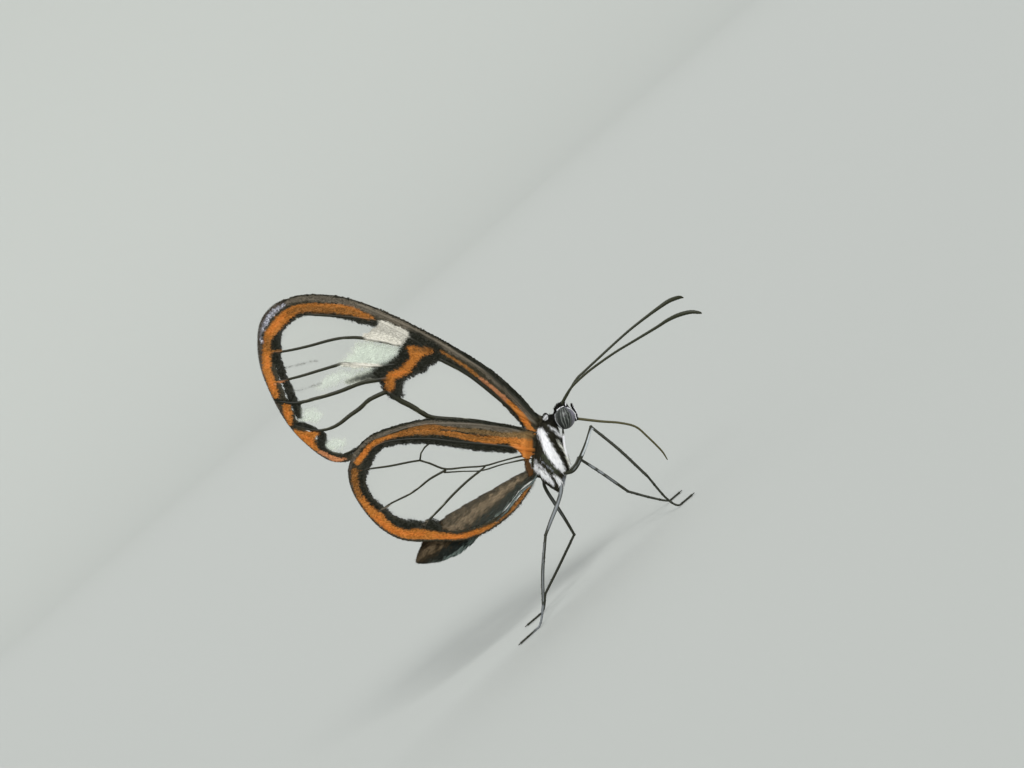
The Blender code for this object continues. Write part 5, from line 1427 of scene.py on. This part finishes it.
# Standing legs
# Four long thin legs of horn: a stout femur up to the knee, a straight tibia with fine
# spurs, and a tarsus of five short joints that lies along the floor and ends in two claws.
FOOT_LIFT = 0.13
LEG_DARK = paint(46, 48, 35)
# Grey of the leg scales; in lines along the middle of a leg it is a painted highlight.
LEG_GREY_AND_HIGHLIGHT = paint(146, 151, 154)
# White of a painted highlight.
LEG_HIGHLIGHT = paint(226, 232, 236)
LEGS = {
    "mid_right": {
        "femur": [(1.20, -0.80, -2.30, 0.18), (1.95, -1.20, -2.07, 0.21), (2.42, -1.50, -1.50, 0.22),
                  (2.75, -1.90, -0.70, 0.22), (3.33, -2.40, 0.85, 0.19), (3.75, -2.70, 2.45, 0.15)],
        "tibia": [(3.75, -2.70, 2.45, 0.14), (6.50, -3.30, 0.22, 0.15), (9.30, -3.80, -2.40, 0.14)],
        "tarsus": [(9.30, -3.80, -2.40, 0.12), (11.20, -4.00, -4.60, 0.11)],
        "foot": [(6.00, -4.15), (7.60, -4.30)],
        "bands": [
            # The white along the front edge of the femur is a painted highlight.
            (LEG_HIGHLIGHT, 0.05, [(2.95, -0.4, 0.06), (3.3, 0.43, 0.12), (3.5, 1.1, 0.12), (3.75, 2.0, 0.08),
                               (3.85, 2.35, 0.05)]),
            (LEG_GREY_AND_HIGHLIGHT * 0.6, 0.05, [(2.15, -1.85, 0.05), (2.6, -1.2, 0.05), (2.75, -0.8, 0.03)]),
        ],
    },
    "mid_left": {
        "femur": [(1.20, 0.80, -2.15, 0.22), (1.95, 1.90, -2.15, 0.21), (2.55, 3.50, -1.75, 0.18),
                  (2.95, 5.10, -1.15, 0.15)],
        "tibia": [(2.95, 5.10, -1.15, 0.14), (5.35, 5.10, -2.70, 0.16), (8.00, 5.00, -4.55, 0.14)],
        "tarsus": [(8.00, 5.00, -4.55, 0.13), (10.45, 4.80, -5.20, 0.12)],
        "foot": [(5.70, 4.60), (7.00, 4.50)],
        "bands": [
            (LEG_GREY_AND_HIGHLIGHT, 0.06, [(4.1, -1.86, 0.08), (4.6, -2.18, 0.1)]),
            (LEG_GREY_AND_HIGHLIGHT, 0.06, [(4.95, -2.4, 0.09), (5.5, -2.75, 0.11)]),
            (LEG_GREY_AND_HIGHLIGHT * 0.7, 0.06, [(5.8, -3.0, 0.08), (6.8, -3.7, 0.07)]),
        ],
    },
    "hind_right": {
        "femur": [(0.85, -0.25, -2.90, 0.20), (0.90, -0.45, -3.50, 0.21), (0.84, -0.95, -4.25, 0.21),
                  (0.37, -1.70, -5.62, 0.21), (-0.22, -2.20, -7.00, 0.19), (-0.74, -2.60, -8.33, 0.15)],
        "tibia": [(-0.74, -2.60, -8.33, 0.14), (-1.03, -3.00, -11.80, 0.17), (-1.00, -3.40, -15.20, 0.15)],
        "tarsus": [(-1.00, -3.40, -15.20, 0.14)],
        "foot": [(-12.50, -3.70), (-14.90, -4.00)],
        "bands": [
            # The pale lines along the middle of the femur and tibia are painted highlights.
            (LEG_GREY_AND_HIGHLIGHT * 0.8, 0.12, [(0.85, -3.2, 0.14), (0.88, -4.0, 0.14), (0.37, -5.62, 0.14),
                                    (-0.25, -7.1, 0.1), (-0.5, -7.8, 0.06)]),
            (LEG_DARK, 0.05, [(0.7, -4.4, 0.03), (0.45, -5.0, 0.05), (0.15, -5.7, 0.03)]),
            (LEG_GREY_AND_HIGHLIGHT, 0.04, [(-0.82, -8.9, 0.02), (-0.98, -10.2, 0.035), (-1.05, -12.0, 0.035),
                              (-1.02, -14.9, 0.035)]),
            (LEG_GREY_AND_HIGHLIGHT * 0.72, 0.12, [(-1.0, -15.3, 0.13), (-1.3, -17.0, 0.14), (-2.1, -18.3, 0.14),
                                     (-3.0, -19.3, 0.12)]),
        ],
    },
    "hind_left": {
        "femur": [(0.40, 0.70, -3.00, 0.20), (-0.30, 1.05, -3.12, 0.19), (-0.75, 1.25, -3.36, 0.17),
                  (-0.45, 1.40, -4.20, 0.18), (0.41, 1.85, -5.54, 0.19), (1.42, 2.35, -7.09, 0.17),
                  (2.40, 2.80, -8.75, 0.14)],
        "tibia": [(2.40, 2.80, -8.75, 0.13), (0.95, 3.30, -11.90, 0.14), (-0.45, 3.70, -14.80, 0.13)],
        "tarsus": [(-0.45, 3.70, -14.80, 0.12)],
        "foot": [(-11.60, 4.00), (-13.60, 4.20)],
        "bands": [(LEG_GREY_AND_HIGHLIGHT * 0.4, 0.1, [(-0.2, -4.6, 0.04), (1.3, -7.0, 0.04)])],
    },
}
FLOOR_CLEARANCE = 0.02
LEG_BAND_POINTS = 16
FEMUR_POINTS = 30
TIBIA_POINTS = 34
TARSUS_POINTS = 60
TARSUS_JOINTS = 5
PAINTED_HORN_SHADE = 0.8
KNEE_SWELL = 1.15
SPUR_OUT = 0.12
SPUR_AHEAD = 0.24
END_SPUR_AHEAD = 0.5
CLAW_SIZE = 0.3


def above_floor(ahead, y, height, radius):
    """Point of the side plane from its place over the floor, ahead of the thorax."""
    drop = height - THORAX_HEIGHT / MM
    x = ahead * math.cos(PITCH) - drop * math.sin(PITCH)
    z = ahead * math.sin(PITCH) + drop * math.cos(PITCH)
    return (x, y, z, radius)


def height_over_floor(spots):
    """How far points of the side plane are above the floor."""
    return THORAX_HEIGHT / MM - spots[:, 0] * math.sin(PITCH) + spots[:, 2] * math.cos(PITCH)


def leg_colour(spots, bands):
    """Colour of a leg at points of it: dark, with its pale lines and patches, some of them painted
    highlights.
    """
    return banded(LEG_DARK, spots, 0.012 * ripple(spots, 0.3, 71), bands, LEG_BAND_POINTS)


def scaled_limb(name, route, bands, seed, density):
    """Short scales that lie along a limb."""
    draw = np.random.default_rng(seed)
    count = int(length_of(route[:, :3]) * density)
    at = draw.integers(0, len(route) - 1, count)
    share = draw.random((count, 1))
    spot = route[at] * (1 - share) + route[at + 1] * share
    run = unit(route[at + 1, :3] - route[at, :3])
    out = square_to(run, draw.normal(0.0, 1.0, (count, 3)))
    roots = spot[:, :3] + out * spot[:, 3:4] * 0.85
    along = unit(run + out * draw.uniform(0.02, 0.16, (count, 1)))
    clear = (height_over_floor(roots) > 0.05) & (height_over_floor(roots + along * 0.24) > 0.03)
    roots, along, out, at, share = (rows[clear] for rows in (roots, along, out, at, share))
    count = len(roots)
    sizes = drawn_sizes(draw, count, (0.12, 0.22), (0.035, 0.05), 0.03)
    tones = leg_colour(roots, bands) * draw.lognormal(0.0, 0.3, (count, 1))
    around = np.arctan2(out[:, 1], out[:, 0] + out[:, 2])
    unwrap = np.column_stack([0.02 + 0.96 * (at + share[:, 0]) / len(route), 0.5 + around / 6.6])
    return spread(name, plate_shape(), roots, along, out, sizes, np.clip(tones, 0, 1), unwrap)


def claw(bm, root, lead, outward, size):
    """Small curved hook at the end of a foot."""
    bends = ((0.0, 0.0, 0.05), (0.5, 0.25, 0.045), (0.95, 0.35, 0.03), (1.2, 0.25, 0.008))
    hook = [
        [*(root + lead * size * ahead + outward * size * aside), radius] for ahead, aside, radius in bends
    ]
    tube(bm, np.array(hook), 6)


for number, (leg_name, leg) in enumerate(LEGS.items()):
    bm = bmesh.new()
    feet = [above_floor(ahead, y, FOOT_LIFT, 0.1) for ahead, y in leg["foot"]]
    femur = even_line(leg["femur"], FEMUR_POINTS)
    tibia = even_line(leg["tibia"], TIBIA_POINTS)
    tibia[0, 3] *= 0.6
    tarsus = even_line(leg["tarsus"] + feet, TARSUS_POINTS)
    sunk = np.clip(tarsus[:, 3] * 1.25 + FLOOR_CLEARANCE - height_over_floor(tarsus), 0.0, None)
    tarsus[:, 0] -= sunk * math.sin(PITCH)
    tarsus[:, 2] += sunk * math.cos(PITCH)
    for joint in range(1, TARSUS_JOINTS + 1):
        at = int(joint * (TARSUS_POINTS - 1) / TARSUS_JOINTS)
        tarsus[at - 1, 3] *= 1.25
        tarsus[at, 3] *= 0.75
    for limb, sides in ((femur, 14), (tibia, 12), (tarsus, 12)):
        tube(bm, limb, sides, deep=(0.3, 0.5, 0.8))
    knee = femur[-1]
    bmesh.ops.create_icosphere(
        bm, subdivisions=3, radius=knee[3] * KNEE_SWELL, matrix=Matrix.Translation(Vector(knee[:3]))
    )
    draw = np.random.default_rng(70 + number)
    for spot in tibia[3:-1]:
        outward = Vector(draw.normal(0.0, 1.0, 3)).normalized()
        run = Vector(tibia[-1, :3] - tibia[0, :3]).normalized()
        outward = (outward - run * outward.dot(run)).normalized()
        root = Vector(spot[:3]) + outward * spot[3] * 0.7
        tip = root + outward * SPUR_OUT + run * SPUR_AHEAD
        tube(bm, np.array([[*root, 0.022], [*tip, 0.006]]), 5)
    for turn in (1, -1):
        run = Vector(tibia[-1, :3] - tibia[-3, :3]).normalized()
        outward = Vector((0.0, turn, 0.0))
        root = Vector(tibia[-1, :3]) + outward * 0.08
        tip = root + outward * SPUR_OUT + run * END_SPUR_AHEAD
        tube(bm, np.array([[*root, 0.04], [*tip, 0.008]]), 6)
        lead = Vector(tarsus[-1, :3] - tarsus[-4, :3]).normalized()
        claw(bm, Vector(tarsus[-1, :3]) - lead * 0.05, lead, outward, CLAW_SIZE)
    mesh = closed_mesh(bm, "leg")
    # The horn under the leg scales is painted darker: painted shade beneath them.
    stain(mesh, leg_colour(vertex_places(mesh), leg["bands"]) * PAINTED_HORN_SHADE)
    part = put(f"leg_{leg_name}_horn", mesh, horn_finish)
    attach(part, "root")
    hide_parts(f"leg_{leg_name}_femur", f"leg_{leg_name}_tibia", f"leg_{leg_name}_tarsus")
    route = np.vstack([femur, tibia[1:], tarsus[1:-4]])
    mesh = scaled_limb("leg_scales", route, leg["bands"], 80 + number, 190)
    part = put(f"leg_{leg_name}_scales", mesh, coat_finish)
    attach(part, "root")

# Folded forelegs
# The front pair is small and useless for walking, folded up against the breast, and shows
# as a narrow white line along the front of the thorax.
FORELEG = [
    (1.85, 0.42, -1.75, 0.08), (1.62, 0.46, -1.15, 0.12), (1.42, 0.48, -0.45, 0.14), (1.24, 0.50, 0.40, 0.14),
    (1.16, 0.48, 1.20, 0.12), (1.10, 0.45, 2.05, 0.05),
]
# The white runs along the breast and stops short of the top, which stays dark as a painted shadow of the
# head.
FORELEG_BANDS = [(BODY_WHITE, 0.2, [(2.0, -2.0, 0.4), (1.35, 0.0, 0.4), (1.2, 1.1, 0.4)])]
for side, sign in SIDES:
    line = even_line(np.array(FORELEG) * (1.0, sign, 1.0, 1.0), FEMUR_POINTS)
    bm = bmesh.new()
    tube(bm, line, 12)
    mesh = closed_mesh(bm, "foreleg")
    # The horn under the foreleg scales is painted darker: painted shade beneath them.
    stain(mesh, leg_colour(vertex_places(mesh), FORELEG_BANDS) * PAINTED_HORN_SHADE)
    part = put(f"leg_fore_{side}_horn", mesh, coat_finish)
    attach(part, "root")
    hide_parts(f"leg_fore_{side}")
    mesh = scaled_limb("foreleg_scales", line, FORELEG_BANDS, 90, 220)
    part = put(f"leg_fore_{side}_scales", mesh, coat_finish)
    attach(part, "root")

# Wing hinges
# A small rounded lappet of horn, thick with overlapping scales, covers the joint of each forewing
# with the thorax. It is dark round it and white in its middle: pale scales with a painted highlight.
TEGULA_CENTRE = (-0.62, 0.56, 3.36)
TEGULA_RADII = (0.30, 0.26, 0.34)
TEGULA_SCALES = 420
TEGULA_PALE_AND_HIGHLIGHT = 0.24
for side, sign in SIDES:
    centre = np.array(TEGULA_CENTRE) * (1.0, sign, 1.0)
    draw = np.random.default_rng(95)
    count = TEGULA_SCALES
    out = draw.normal(0.0, 1.0, (count, 3))
    out[:, 1] = np.abs(out[:, 1]) * sign
    out = unit(out)
    roots = centre + out * TEGULA_RADII
    along = unit(np.array((-0.3, 0.2 * sign, -0.9)) + draw.normal(0.0, 0.2, (count, 3)))
    sizes = np.column_stack([draw.uniform(0.15, 0.3, count), np.full(count, 0.08), np.full(count, 0.04)])
    # Scales near the middle are white: pale scales, painted whiter as a highlight.
    white = np.linalg.norm(roots[:, [0, 2]] - centre[[0, 2]], axis=1) < TEGULA_PALE_AND_HIGHLIGHT
    tones = np.where(white[:, None], BODY_WHITE, BODY_DARK) * draw.uniform(0.75, 1.1, (count, 1))
    unwrap = np.column_stack([0.5 + out[:, 0] * 0.45, 0.5 + out[:, 2] * 0.45])
    mesh = spread("tegula", plate_shape(), roots, along, out, sizes, tones, unwrap)
    part = put(f"tegula_{side}", mesh, coat_finish)
    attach(part, "root")
